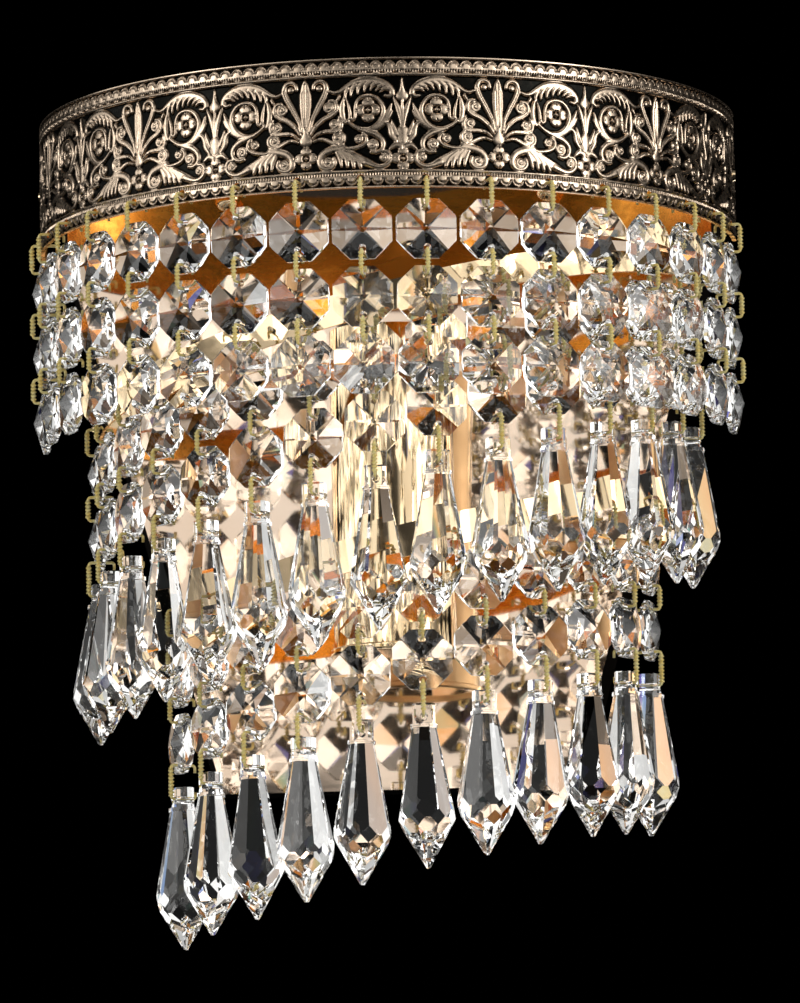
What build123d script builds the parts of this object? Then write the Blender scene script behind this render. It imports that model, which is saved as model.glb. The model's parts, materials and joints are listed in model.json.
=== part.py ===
"""Crystal wall sconce: a half-round stamped band over two tilted plain bands, hung with
strings of octagon beads and drop pendants, on a polished wall plate with one lamp.

Frame: the wall is the XZ plane, +Z is up and the sconce stands out towards -Y.
The origin is the centre of the wall bracket's screw pattern, on the wall.
"""

import os
from math import atan2, cos, degrees, pi, radians, sin, sqrt

from build123d import *

os.makedirs("parts", exist_ok=True)

# ---------------------------------------------------------------- glass beads
BEAD_WIDTH = 18.8  # octagon bead, across flats
BEAD_THICKNESS = 7.8
BEAD_GIRDLE = 1.2  # rim thickness at the octagon's corners
BEAD_HOLE_R = 1.2
BEAD_HOLE_IN = 3.2  # hole centre to the flat edge

PENDANT_LENGTH = 51.5
PENDANT_WIDTH = 17.8  # across flats at the shoulder
PENDANT_NECK_W = 7.0
PENDANT_NECK_D = 5.8
PENDANT_NECK_H = 6.4
PENDANT_COLLAR_W = 8.3
PENDANT_COLLAR_H = 1.1
PENDANT_BODY_TOP_W = 7.6
PENDANT_SHOULDER_UP = 15.0  # shoulder to tip
PENDANT_TIP_W = 1.2
PENDANT_HOLE_R = 1.2
PENDANT_HOLE_IN = 4.0

# ----------------------------------------------------------------- wire clips
WIRE = 0.9  # round wire of the arms
CLIP_WIDTH = 2.0  # flattened front leg
CLIP_LEG_T = 0.8
CLIP_OUT = 3.8  # bead plane to the leg's middle
CLIP_IN = 4.3  # bead plane to the turned end's middle
CLIP_BEND_R = 0.9
CLIP_CURL = 2.3
LINK_GAP = 8.8  # hole to hole, between two beads
TOP_LINK_GAP = 9.8  # hole to hole, stamped band to bead
PLAIN_LINK_GAP = 9.2  # hole to hole, plain band to bead
DROP_LINK_GAP = 12.0  # hole to hole, bead to pendant
HANG_GAP = 0.15  # clearance where glass hangs on wire
PIVOT_DROP = 0.2  # arm below the middle of its band hole

# ---------------------------------------------------------------------- bands
PLATE_DEPTH = 13.0
STRING_GAP = 1.3  # between neighbouring beads along a band
BAND_HOLE_R = 1.2
BALANCE = 0.06  # bead plane inside the pivot, so a string hangs plumb

TOP_RADIUS = 112.0
TOP_HEIGHT = 41.3
TOP_EDGE_Z = -18.0
TOP_WALL = 0.9
TOP_BORDER_H = 7.6
TOP_BORDER_T = 0.7
TOP_HOLE_UP = 3.0
TOP_PHASE = 1.0
TOP_MARGIN = 14.5  # band end to its outermost string, at least

MIDDLE_STEP = 12.5  # top band radius less middle band radius
MIDDLE_X = 2.5
MIDDLE_HEIGHT = 9.4
MIDDLE_EDGE_Z = -56.0
MIDDLE_TILT = 13.4
MIDDLE_PHASE = 0.4
MIDDLE_MARGIN = 14.5

LOWER_STEP = 17.5  # middle band radius less lower band radius
LOWER_X = 5.8
LOWER_HEIGHT = 10.3
LOWER_EDGE_Z = -130.9
LOWER_TILT = 13.1
LOWER_PHASE = 7.3
LOWER_MARGIN = 18.4

PLAIN_WALL = 1.0
PLAIN_HOLE_UP = 3.0

# ----------------------------------------------------------------- wall plate
PLATE_TOP_Z = 18.0
PLATE_BOTTOM_Z = -193.0
PLATE_INSET = 5.0  # top band radius less the plate's half width
PLATE_BOTTOM_OUT = 23.0  # lower band radius less the plate's half width at its foot
PLATE_WALL = 1.2
PLATE_FLARE = 2.6  # how far the side returns spread towards the wall

# ------------------------------------------------------------ lugs and rivets
LUG_T = 1.2
LUG_W = 7.0
LUG_LEG = 9.0
LUG_FOOT = 16.0
LUG_CLEAR = 0.05  # band curve to the end of the flat leg
RIVET_R = 1.2
RIVET_HEAD_R = 2.2
RIVET_HEAD_H = 0.9
M3_R = 1.5
M3_CLEAR_R = 1.65
M3_HEAD_R = 2.8
M3_HEAD_H = 1.8
M3_NUT_FLATS = 5.5
M3_NUT_H = 2.4
M3_TAIL = 1.0  # screw end past its nut
THREAD_CLEAR = 0.05

# --------------------------------------------------------------- wall bracket
BRACKET_L = 126.0
BRACKET_W = 22.0
BRACKET_T = 2.0
WALL_SCREW_PITCH = 70.0
WALL_SCREW_R = 2.5
CABLE_HOLE_R = 6.0
STUD_PITCH = 104.0
STUD_R = 2.0
STUD_CLEAR_R = 2.2
STUD_SHORT = 1.0  # stud end short of its cap nut's bore end
CAP_NUT_FLATS = 8.0
CAP_NUT_H = 5.0
CAP_NUT_BORE_L = 6.5
EARTH_X = 18.0
EARTH_R = 2.0
EARTH_HEAD_R = 3.6
EARTH_HEAD_H = 2.2

# ----------------------------------------------------------------- lamp parts
LAMP_X = 3.5
LAMP_Y = -57.5
SLEEVE_R = 19.4
SLEEVE_WALL = 0.8
SLEEVE_BOTTOM_Z = -154.0
SLEEVE_TOP_Z = -52.0
RIM_R = 20.6
RIM_H = 2.3
RIM_DISC_T = 1.2
ARM_R = 5.0
ARM_BORE_R = 3.4
ARM_Z = -126.0
ARM_BEND_R = 11.0
ARM_TOP_Z = -96.0
ARM_TAIL = 7.0  # how far the arm reaches in behind the plate's face
ARM_CLEAR = 0.25
CARRIER_T = 1.5
CARRIER_CLEAR = 0.2
NUT_FLATS = 15.0
NUT_H = 3.0
HOLDER_R = 13.5
HOLDER_TOP_Z = -58.0
HOLDER_BORE_R = 6.9
HOLDER_BORE_L = 22.0
HOLDER_SKIRT_R = 11.5
HOLDER_SKIRT_L = 15.0
LEAD_R = 0.9
LEAD_SPREAD = 1.3
LEAD_TURN = 3.2  # behind the arm's open end
LEAD_BEND_R = 4.0
LEAD_IN_BLOCK = 3.0
LEAD_DROP = 5.0
LEAD_END = 2.2

BLOCK_L = 30.0
BLOCK_W = 12.0
BLOCK_H = 8.0
BLOCK_Z = -48.0
BLOCK_HOLE_R = 1.5
BLOCK_SCREW_R = 1.7
BLOCK_WAYS = 3

CUT = 0.5  # how far a cutting solid overruns


def string_angles(radius, phase, margin):
    """Angles of the string holes, 0 facing away from the wall, + towards +X."""
    pitch = BEAD_WIDTH + STRING_GAP
    count = int((pi * radius - 2 * margin) / pitch) + 1
    span = (count - 1) * pitch
    room = (pi * radius - span) / 2 - margin
    shift = max(-room, min(room, radians(phase) * radius))
    return [degrees((shift - span / 2 + i * pitch) / radius) for i in range(count)]


def ring_plane(x, z, tilt):
    """Plane of a band: its lower edge lies in it, tilted about the Y axis."""
    t = radians(tilt)
    return Plane(
        origin=(x, -PLATE_DEPTH, z), x_dir=(cos(t), 0, sin(t)), z_dir=(-sin(t), 0, cos(t))
    )


def on_ring(ring, radius, angle, up):
    """A point on a band, and its outward direction, in the frame."""
    a = radians(angle)
    point = ring.from_local_coords(Vector(radius * sin(a), -radius * cos(a), up))
    foot = ring.from_local_coords(Vector(0, 0, up))
    return point, point - foot


def string_location(ring, radius, angle, up):
    """Where a string's pivot lies, turned so that its -Y side faces outward."""
    point, outward = on_ring(ring, radius, angle, up)
    heading = degrees(atan2(outward.X, -outward.Y))
    return Location((point.X, point.Y, point.Z - PIVOT_DROP), (0, 0, heading))


MIDDLE_RADIUS = TOP_RADIUS - MIDDLE_STEP
LOWER_RADIUS = MIDDLE_RADIUS - LOWER_STEP

top_ring = ring_plane(0, TOP_EDGE_Z, 0)
middle_ring = ring_plane(MIDDLE_X, MIDDLE_EDGE_Z, MIDDLE_TILT)
lower_ring = ring_plane(LOWER_X, LOWER_EDGE_Z, LOWER_TILT)

# name, plane, outer radius, wall, height
BANDS = [
    ("top", top_ring, TOP_RADIUS, TOP_WALL, TOP_HEIGHT),
    ("middle", middle_ring, MIDDLE_RADIUS, PLAIN_WALL, MIDDLE_HEIGHT),
    ("lower", lower_ring, LOWER_RADIUS, PLAIN_WALL, LOWER_HEIGHT),
]

# height of the string holes above each band's lower edge, and their angles
HOLES = {
    "top": (TOP_HOLE_UP, string_angles(TOP_RADIUS, TOP_PHASE, TOP_MARGIN)),
    "middle": (PLAIN_HOLE_UP, string_angles(MIDDLE_RADIUS, MIDDLE_PHASE, MIDDLE_MARGIN)),
    "lower": (PLAIN_HOLE_UP, string_angles(LOWER_RADIUS, LOWER_PHASE, LOWER_MARGIN)),
}

# ====================================================================== plate
PLATE_HALF = TOP_RADIUS - PLATE_INSET
PLATE_FOOT = LOWER_RADIUS - PLATE_BOTTOM_OUT


def plate_outline(side, end):
    """Outline of the plate, drawn in by `side` at the flanks and `end` at head and foot."""
    return [
        (-PLATE_FOOT + side, PLATE_BOTTOM_Z + end),
        (PLATE_FOOT - side, PLATE_BOTTOM_Z + end),
        (PLATE_HALF - side, TOP_EDGE_Z),
        (PLATE_HALF - side, PLATE_TOP_Z - end),
        (-PLATE_HALF + side, PLATE_TOP_Z - end),
        (-PLATE_HALF + side, TOP_EDGE_Z),
    ]


def wall_plane(y):
    """Plane parallel to the wall, facing the room, its local axes along X and Z."""
    return Plane(origin=(0, y, 0), x_dir=(1, 0, 0), z_dir=(0, -1, 0))


def lug_spots(radius, wall, height):
    """Left and right: side, x of the leg's outer face, x of the foot's screw, height."""
    face = sqrt((radius - wall) ** 2 - LUG_LEG**2) - LUG_CLEAR
    return [(side, face, face - LUG_FOOT + LUG_W / 2 + 1, height / 2) for side in (-1, 1)]


screw_points = []
for _, ring, radius, wall, height in BANDS:
    for side, face, screw_x, up in lug_spots(radius, wall, height):
        screw_points.append(ring.from_local_coords(Vector(side * screw_x, 0, up)))

with BuildPart() as back_plate:
    with BuildSketch(wall_plane(0)):
        with BuildLine():
            Polyline(*plate_outline(0, 0), close=True)
        make_face()
    with BuildSketch(wall_plane(-PLATE_DEPTH)):
        with BuildLine():
            Polyline(*plate_outline(PLATE_FLARE, 0), close=True)
        make_face()
    loft()
    inner_depth = PLATE_DEPTH - PLATE_WALL
    with BuildSketch(wall_plane(0)):
        with BuildLine():
            Polyline(*plate_outline(PLATE_WALL, PLATE_WALL), close=True)
        make_face()
    with BuildSketch(wall_plane(-inner_depth)):
        with BuildLine():
            Polyline(*plate_outline(PLATE_WALL + PLATE_FLARE, PLATE_WALL), close=True)
        make_face()
    loft(mode=Mode.SUBTRACT)
    with BuildSketch(wall_plane(-PLATE_DEPTH - CUT)):
        with Locations(*[(p.X, p.Z) for p in screw_points]):
            Circle(M3_CLEAR_R)
        with Locations((-STUD_PITCH / 2, 0), (STUD_PITCH / 2, 0)):
            Circle(STUD_CLEAR_R)
        with Locations((LAMP_X, ARM_Z)):
            Circle(ARM_R + ARM_CLEAR)
    extrude(amount=-(PLATE_WALL + 2 * CUT), mode=Mode.SUBTRACT)
back_plate.part.label = "back_plate"
export_step(back_plate.part, "parts/back_plate.step")

# ==================================================================== bracket
with BuildPart() as wall_bracket:
    with BuildSketch(wall_plane(0)):
        SlotOverall(BRACKET_L, BRACKET_W)
        with Locations((-WALL_SCREW_PITCH / 2, 0), (WALL_SCREW_PITCH / 2, 0)):
            Circle(WALL_SCREW_R, mode=Mode.SUBTRACT)
        Circle(CABLE_HOLE_R, mode=Mode.SUBTRACT)
        with Locations((-STUD_PITCH / 2, 0), (STUD_PITCH / 2, 0), (EARTH_X, 0)):
            Circle(STUD_R, mode=Mode.SUBTRACT)
    extrude(amount=BRACKET_T)
wall_bracket.part.label = "wall_bracket"
export_step(wall_bracket.part, "parts/wall_bracket.step")

STUD_L = PLATE_DEPTH + CAP_NUT_BORE_L - STUD_SHORT
with BuildPart() as bracket_screws:
    with BuildSketch(wall_plane(0)):
        with Locations((-STUD_PITCH / 2, 0), (STUD_PITCH / 2, 0)):
            Circle(STUD_R)
    extrude(amount=STUD_L)
    with BuildSketch(wall_plane(0)):
        with Locations((EARTH_X, 0)):
            Circle(EARTH_R)
    extrude(amount=BRACKET_T)
    with BuildSketch(wall_plane(-BRACKET_T)):
        with Locations((EARTH_X, 0)):
            Circle(EARTH_HEAD_R)
    extrude(amount=EARTH_HEAD_H)
bracket_screws.part.label = "bracket_screws"
export_step(bracket_screws.part, "parts/bracket_screws.step")

with BuildPart() as cap_nuts:
    with BuildSketch(wall_plane(-PLATE_DEPTH)):
        with Locations((-STUD_PITCH / 2, 0), (STUD_PITCH / 2, 0)):
            RegularPolygon(CAP_NUT_FLATS / 2, 6, major_radius=False)
    extrude(amount=CAP_NUT_H)
    dome_y = -PLATE_DEPTH - CAP_NUT_H
    with Locations((-STUD_PITCH / 2, dome_y, 0), (STUD_PITCH / 2, dome_y, 0)):
        Sphere(CAP_NUT_FLATS / 2 - 0.2)
    with BuildSketch(wall_plane(-PLATE_DEPTH)):
        with Locations((-STUD_PITCH / 2, 0), (STUD_PITCH / 2, 0)):
            Circle(STUD_R + THREAD_CLEAR)
    extrude(amount=CAP_NUT_BORE_L, mode=Mode.SUBTRACT)
cap_nuts.part.label = "cap_nuts"
export_step(cap_nuts.part, "parts/cap_nuts.step")

# ====================================================================== bands
for name, ring, radius, wall, height in BANDS:
    hole_up, angles = HOLES[name]
    side_plane = Plane(origin=ring.origin, x_dir=ring.x_dir, z_dir=-ring.y_dir)
    with BuildPart() as band:
        with BuildSketch(side_plane):
            with Locations((radius - wall, 0)):
                Rectangle(wall, height, align=(Align.MIN, Align.MIN))
            if name == "top":
                with Locations((radius, 0), (radius, height - TOP_BORDER_H)):
                    Rectangle(TOP_BORDER_T, TOP_BORDER_H, align=(Align.MIN, Align.MIN))
        revolve(axis=Axis(ring.origin, -ring.z_dir), revolution_arc=180)
        hole_planes = []
        for angle in angles:
            point, outward = on_ring(ring, radius - wall / 2, angle, hole_up)
            hole_planes.append(Plane(origin=point, z_dir=outward))
        with BuildSketch(*hole_planes):
            Circle(BAND_HOLE_R)
        extrude(amount=wall + TOP_BORDER_T, both=True, mode=Mode.SUBTRACT)
        with BuildSketch(ring.offset(height / 2).rotated((0, 90, 0))):
            with Locations((0, -LUG_LEG / 2 - 1)):
                Circle(RIVET_R)
        extrude(amount=radius + wall + TOP_BORDER_T, both=True, mode=Mode.SUBTRACT)
    band.part.label = f"{name}_band"
    export_step(band.part, f"parts/{name}_band.step")

with BuildPart() as band_lugs:
    for _, ring, radius, wall, height in BANDS:
        for side, face, screw_x, up in lug_spots(radius, wall, height):
            with BuildSketch(ring.offset(up - LUG_W / 2)):
                with BuildLine():
                    Polyline(
                        (side * face, 0),
                        (side * face, -LUG_LEG),
                        (side * (face - LUG_T), -LUG_LEG),
                        (side * (face - LUG_T), -LUG_T),
                        (side * (face - LUG_FOOT), -LUG_T),
                        (side * (face - LUG_FOOT), 0),
                        close=True,
                    )
                make_face()
            extrude(amount=LUG_W)
    for _, ring, radius, wall, height in BANDS:
        with BuildSketch(ring.offset(height / 2).rotated((0, 90, 0))):
            with Locations((0, -LUG_LEG / 2 - 1)):
                Circle(RIVET_R)
        extrude(amount=radius, both=True, mode=Mode.SUBTRACT)
    with BuildSketch(wall_plane(-PLATE_DEPTH - LUG_T - CUT)):
        with Locations(*[(p.X, p.Z) for p in screw_points]):
            Circle(M3_CLEAR_R)
    extrude(amount=-(LUG_T + 2 * CUT), mode=Mode.SUBTRACT)
band_lugs.part.label = "band_lugs"
export_step(band_lugs.part, "parts/band_lugs.step")

with BuildPart() as lug_rivets:
    for _, ring, radius, wall, height in BANDS:
        for side, face, screw_x, up in lug_spots(radius, wall, height):
            inner = ring.from_local_coords(Vector(side * (face - LUG_T), -LUG_LEG / 2 - 1, up))
            outer = ring.from_local_coords(Vector(side * radius, -LUG_LEG / 2 - 1, up))
            length = (outer - inner).length
            with BuildSketch(Plane(origin=inner, z_dir=outer - inner)):
                Circle(RIVET_R)
            extrude(amount=length)
            with BuildSketch(
                Plane(origin=inner, z_dir=inner - outer), Plane(origin=outer, z_dir=outer - inner)
            ):
                Circle(RIVET_HEAD_R)
            extrude(amount=RIVET_HEAD_H, taper=20)
lug_rivets.part.label = "lug_rivets"
export_step(lug_rivets.part, "parts/lug_rivets.step")

with BuildPart() as lug_bolts:
    screw_spots = [(p.X, p.Z) for p in screw_points]
    with BuildSketch(wall_plane(-PLATE_DEPTH - LUG_T)):
        with Locations(*screw_spots):
            Circle(M3_HEAD_R)
    extrude(amount=M3_HEAD_H, taper=15)
    with BuildSketch(wall_plane(-PLATE_DEPTH - LUG_T)):
        with Locations(*screw_spots):
            Circle(M3_R)
    extrude(amount=-(LUG_T + PLATE_WALL + M3_NUT_H + M3_TAIL))
    with BuildSketch(wall_plane(-PLATE_DEPTH + PLATE_WALL)):
        with Locations(*screw_spots):
            RegularPolygon(M3_NUT_FLATS / 2, 6, major_radius=False)
            Circle(M3_R + THREAD_CLEAR, mode=Mode.SUBTRACT)
    extrude(amount=-M3_NUT_H)
lug_bolts.part.label = "lug_bolts"
export_step(lug_bolts.part, "parts/lug_bolts.step")

# ======================================================================= lamp
ARM_START_Y = -PLATE_DEPTH + ARM_TAIL


with BuildPart() as lamp_arm:
    with BuildLine() as arm_path:
        FilletPolyline(
            (LAMP_X, ARM_START_Y, ARM_Z),
            (LAMP_X, LAMP_Y, ARM_Z),
            (LAMP_X, LAMP_Y, ARM_TOP_Z),
            radius=ARM_BEND_R,
        )
    with BuildSketch(Plane(origin=arm_path.line @ 0, z_dir=arm_path.line % 0)):
        Circle(ARM_R)
        Circle(ARM_BORE_R, mode=Mode.SUBTRACT)
    sweep(path=arm_path.line)
lamp_arm.part.label = "lamp_arm"
export_step(lamp_arm.part, "parts/lamp_arm.step")

with BuildPart() as arm_nuts:
    for y, amount in ((-PLATE_DEPTH, NUT_H), (-PLATE_DEPTH + PLATE_WALL, -NUT_H)):
        with BuildSketch(wall_plane(y)):
            with Locations((LAMP_X, ARM_Z)):
                RegularPolygon(NUT_FLATS / 2, 6, major_radius=False)
                Circle(ARM_R, mode=Mode.SUBTRACT)
        extrude(amount=amount)
arm_nuts.part.label = "arm_nuts"
export_step(arm_nuts.part, "parts/arm_nuts.step")

with BuildPart() as lamp_sleeve:
    with BuildSketch(Plane(origin=(LAMP_X, LAMP_Y, SLEEVE_BOTTOM_Z))):
        Circle(SLEEVE_R)
        Circle(SLEEVE_R - SLEEVE_WALL, mode=Mode.SUBTRACT)
    extrude(amount=SLEEVE_TOP_Z - SLEEVE_BOTTOM_Z)
    with BuildSketch(wall_plane(LAMP_Y)):
        with Locations((LAMP_X, ARM_Z)):
            Circle(ARM_R + ARM_CLEAR)
    extrude(amount=-(SLEEVE_R + CUT), mode=Mode.SUBTRACT)
lamp_sleeve.part.label = "lamp_sleeve"
export_step(lamp_sleeve.part, "parts/lamp_sleeve.step")

CARRIER_Z = ARM_TOP_Z - 2 * CARRIER_T
with BuildPart() as sleeve_discs:
    with BuildSketch(Plane(origin=(LAMP_X, LAMP_Y, SLEEVE_BOTTOM_Z))):
        Circle(RIM_R)
    extrude(amount=-RIM_H)
    fillet(sleeve_discs.edges().filter_by(GeomType.CIRCLE), 0.7)
    with BuildSketch(Plane(origin=(LAMP_X, LAMP_Y, SLEEVE_BOTTOM_Z - RIM_H))):
        Circle(SLEEVE_R - SLEEVE_WALL)
    extrude(amount=RIM_H - RIM_DISC_T, mode=Mode.SUBTRACT)
    with BuildSketch(Plane(origin=(LAMP_X, LAMP_Y, CARRIER_Z))):
        Circle(SLEEVE_R - SLEEVE_WALL - CARRIER_CLEAR)
        Circle(ARM_R, mode=Mode.SUBTRACT)
        with PolarLocations((SLEEVE_R + ARM_R) / 2, 4, start_angle=45):
            Circle(3.0, mode=Mode.SUBTRACT)
    extrude(amount=CARRIER_T)
sleeve_discs.part.label = "sleeve_discs"
export_step(sleeve_discs.part, "parts/sleeve_discs.step")

HOLDER_BASE_Z = CARRIER_Z + CARRIER_T
with BuildPart() as lampholder:
    with BuildSketch(Plane(origin=(LAMP_X, LAMP_Y, HOLDER_BASE_Z))):
        Circle(HOLDER_SKIRT_R)
    extrude(amount=HOLDER_SKIRT_L)
    with BuildSketch(Plane(origin=(LAMP_X, LAMP_Y, HOLDER_BASE_Z + HOLDER_SKIRT_L))):
        Circle(HOLDER_R)
    extrude(amount=HOLDER_TOP_Z - HOLDER_BASE_Z - HOLDER_SKIRT_L)
    chamfer(lampholder.edges().filter_by(GeomType.CIRCLE).sort_by(Axis.Z)[-1], 1.0)
    with BuildSketch(Plane(origin=(LAMP_X, LAMP_Y, HOLDER_TOP_Z))):
        Circle(HOLDER_BORE_R)
    extrude(amount=-HOLDER_BORE_L, mode=Mode.SUBTRACT)
    with BuildSketch(Plane(origin=(LAMP_X, LAMP_Y, HOLDER_BASE_Z))):
        Circle(ARM_R)
    extrude(amount=ARM_TOP_Z - HOLDER_BASE_Z, mode=Mode.SUBTRACT)
    with BuildSketch(Plane(origin=(LAMP_X, LAMP_Y, ARM_TOP_Z - CUT))):
        Circle(ARM_BORE_R)
    extrude(amount=2.5 + CUT, mode=Mode.SUBTRACT)
lampholder.part.label = "lampholder"
export_step(lampholder.part, "parts/lampholder.step")

BLOCK_BACK_Y = -PLATE_DEPTH + PLATE_WALL
BLOCK_PITCH = BLOCK_L / BLOCK_WAYS
BLOCK_MID_Y = BLOCK_BACK_Y + BLOCK_H / 2
LEAD_TURN_Y = ARM_START_Y + LEAD_TURN

# Two leads run from the block's outer ways, through the arm's bore, to the lampholder.
with BuildPart() as lamp_leads:
    block_foot = BLOCK_Z - BLOCK_W / 2
    for side in (-1, 1):
        way_x = LAMP_X + side * BLOCK_PITCH
        lead_x = LAMP_X + side * LEAD_SPREAD
        with BuildLine() as lead_path:
            FilletPolyline(
                (way_x, BLOCK_MID_Y, block_foot + LEAD_IN_BLOCK),
                (way_x, BLOCK_MID_Y, block_foot - LEAD_DROP),
                (lead_x, LEAD_TURN_Y, ARM_Z + 2 * LEAD_DROP),
                (lead_x, LEAD_TURN_Y, ARM_Z),
                (lead_x, LAMP_Y, ARM_Z),
                (lead_x, LAMP_Y, ARM_TOP_Z + LEAD_END),
                radius=(LEAD_BEND_R, LEAD_BEND_R, LEAD_TURN - CUT, ARM_BEND_R),
            )
        with BuildSketch(Plane(origin=lead_path.line @ 0, z_dir=lead_path.line % 0)):
            Circle(LEAD_R)
        sweep(path=lead_path.line)
lamp_leads.part.label = "lamp_leads"
export_step(lamp_leads.part, "parts/lamp_leads.step")

with BuildPart() as terminal_block:
    with BuildSketch(wall_plane(BLOCK_BACK_Y)):
        with Locations((LAMP_X, BLOCK_Z)):
            Rectangle(BLOCK_L, BLOCK_W)
    extrude(amount=-BLOCK_H)
    with BuildSketch(Plane(origin=(LAMP_X, BLOCK_MID_Y, BLOCK_Z - BLOCK_W / 2 - CUT))):
        with GridLocations(BLOCK_PITCH, 1, BLOCK_WAYS, 1):
            Circle(BLOCK_HOLE_R)
    extrude(amount=BLOCK_W + 2 * CUT, mode=Mode.SUBTRACT)
    with BuildSketch(wall_plane(BLOCK_BACK_Y + BLOCK_H)):
        with Locations((LAMP_X, BLOCK_Z)):
            with GridLocations(BLOCK_PITCH, BLOCK_W / 2, BLOCK_WAYS, 2):
                Circle(BLOCK_SCREW_R)
    extrude(amount=BLOCK_H / 4, mode=Mode.SUBTRACT)
terminal_block.part.label = "terminal_block"
export_step(terminal_block.part, "parts/terminal_block.step")

# ==================================================================== strings
front = Plane(origin=(0, 0, 0), x_dir=(1, 0, 0), z_dir=(0, -1, 0))

bead_corner = BEAD_WIDTH / 2 / cos(pi / 8)
bead_slope = (BEAD_THICKNESS - BEAD_GIRDLE) / 2 / bead_corner

with BuildPart() as bead:
    # eight facets a side, each round one corner, so their ridges run to the middles of the flats
    for face_dir in (-1, 1):
        with BuildSketch(front, mode=Mode.PRIVATE) as crown:
            RegularPolygon(
                BEAD_THICKNESS / 2 / bead_slope, 8, major_radius=False, rotation=0
            )
        apex = front.from_local_coords(Vector(0, 0, face_dir * BEAD_THICKNESS / 2))
        loft(sections=[crown.sketch.face(), Vertex(apex.X, apex.Y, apex.Z)])
    with BuildSketch(front.offset(-BEAD_THICKNESS / 2)):
        RegularPolygon(BEAD_WIDTH / 2, 8, major_radius=False, rotation=22.5)
    extrude(amount=BEAD_THICKNESS, mode=Mode.INTERSECT)
    reach = BEAD_WIDTH / 2 - BEAD_HOLE_IN
    with BuildSketch(front.offset(-BEAD_THICKNESS / 2)):
        with Locations((0, reach), (0, -reach)):
            Circle(BEAD_HOLE_R)
    extrude(amount=BEAD_THICKNESS, mode=Mode.SUBTRACT)

SHOULDER_Z = -PENDANT_LENGTH + PENDANT_SHOULDER_UP
BODY_TOP_Z = -PENDANT_NECK_H - PENDANT_COLLAR_H
body_slope = (PENDANT_WIDTH - PENDANT_BODY_TOP_W) / 2 / (BODY_TOP_Z - SHOULDER_Z)
tip_slope = (PENDANT_WIDTH - PENDANT_TIP_W) / 2 / PENDANT_SHOULDER_UP
SHOULDER_SLOPE = 0.2
SHOULDER_TRIM = 0.3  # how far the corner facets lie inside the shoulder's flats


def flats_at(z, at_z, half, slope):
    """Half width across flats at height z of facets that pass `half` at height at_z."""
    return half + slope * (z - at_z)


with BuildPart() as pendant:
    for mode, at_z, half, slope, turn in (
        (Mode.ADD, SHOULDER_Z, PENDANT_WIDTH / 2, -body_slope, 22.5),
        (Mode.INTERSECT, -PENDANT_LENGTH, PENDANT_TIP_W / 2, tip_slope, 22.5),
        (Mode.INTERSECT, SHOULDER_Z, PENDANT_WIDTH / 2 - SHOULDER_TRIM, SHOULDER_SLOPE, 0),
    ):
        with BuildSketch(Plane.XY.offset(BODY_TOP_Z)):
            RegularPolygon(
                flats_at(BODY_TOP_Z, at_z, half, slope), 8, major_radius=False, rotation=turn
            )
        with BuildSketch(Plane.XY.offset(-PENDANT_LENGTH)):
            RegularPolygon(
                flats_at(-PENDANT_LENGTH, at_z, half, slope), 8, major_radius=False, rotation=turn
            )
        loft(mode=mode)
    with BuildSketch(Plane.XY.offset(BODY_TOP_Z)):
        RegularPolygon(PENDANT_COLLAR_W / 2, 8, major_radius=False, rotation=22.5)
    extrude(amount=PENDANT_COLLAR_H)
    with BuildSketch(Plane.XY.offset(-PENDANT_NECK_H)) as neck:
        Rectangle(PENDANT_NECK_W, PENDANT_NECK_D)
        chamfer(neck.vertices(), 1.0)
    extrude(amount=PENDANT_NECK_H)
    with BuildSketch(front.offset(-PENDANT_NECK_D)):
        with Locations((0, -PENDANT_HOLE_IN)):
            Circle(PENDANT_HOLE_R)
    extrude(amount=2 * PENDANT_NECK_D, mode=Mode.SUBTRACT)

BEAD_HANG = BEAD_HOLE_R - WIRE / 2 - HANG_GAP  # wire above or below a bead hole's middle
PENDANT_HANG = PENDANT_HOLE_R - WIRE / 2 - HANG_GAP
TOP_SPAN = TOP_LINK_GAP - PIVOT_DROP - BEAD_HANG
PLAIN_SPAN = PLAIN_LINK_GAP - PIVOT_DROP - BEAD_HANG
LINK_SPAN = LINK_GAP - 2 * BEAD_HANG
DROP_SPAN = DROP_LINK_GAP - BEAD_HANG - PENDANT_HANG

clip_plane = Plane(origin=(0, 0, 0), x_dir=(0, -1, 0), z_dir=(-1, 0, 0))


def make_clip(span):
    """A C-shaped clip: upper arm at z = 0, lower arm at z = -span, open on the inside."""
    curl = min(CLIP_CURL, span / 2 - WIRE)
    with BuildPart() as clip:
        with BuildLine(clip_plane) as wire:
            FilletPolyline(
                (-CLIP_IN, -curl),
                (-CLIP_IN, 0),
                (CLIP_OUT, 0),
                (CLIP_OUT, -span),
                (-CLIP_IN, -span),
                (-CLIP_IN, -span + curl),
                radius=CLIP_BEND_R,
            )
        with BuildSketch(Plane(origin=wire.line @ 0, z_dir=wire.line % 0)):
            Circle(WIRE / 2)
        sweep(path=wire.line)
        with Locations((0, -CLIP_OUT, -span / 2)):
            Box(CLIP_WIDTH, CLIP_LEG_T, span - 2 * CLIP_BEND_R)
    return clip.part


top_clip = make_clip(TOP_SPAN)
plain_clip = make_clip(PLAIN_SPAN)
link_clip = make_clip(LINK_SPAN)
drop_clip = make_clip(DROP_SPAN)


def string_pieces(first_clip, first_span, beads, with_pendant):
    """Solids of one string and their heights below its pivot."""
    pieces = [(first_clip, 0)]
    z = -first_span
    for i in range(beads):
        middle = z - BEAD_HANG - (BEAD_WIDTH / 2 - BEAD_HOLE_IN)
        pieces.append((bead.part, middle))
        z = middle - (BEAD_WIDTH / 2 - BEAD_HOLE_IN) - BEAD_HANG
        if i < beads - 1:
            pieces.append((link_clip, z))
            z -= LINK_SPAN
    if with_pendant:
        pieces.append((drop_clip, z))
        z -= DROP_SPAN
        pieces.append((pendant.part, z - PENDANT_HANG + PENDANT_HOLE_IN))
    return pieces


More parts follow.
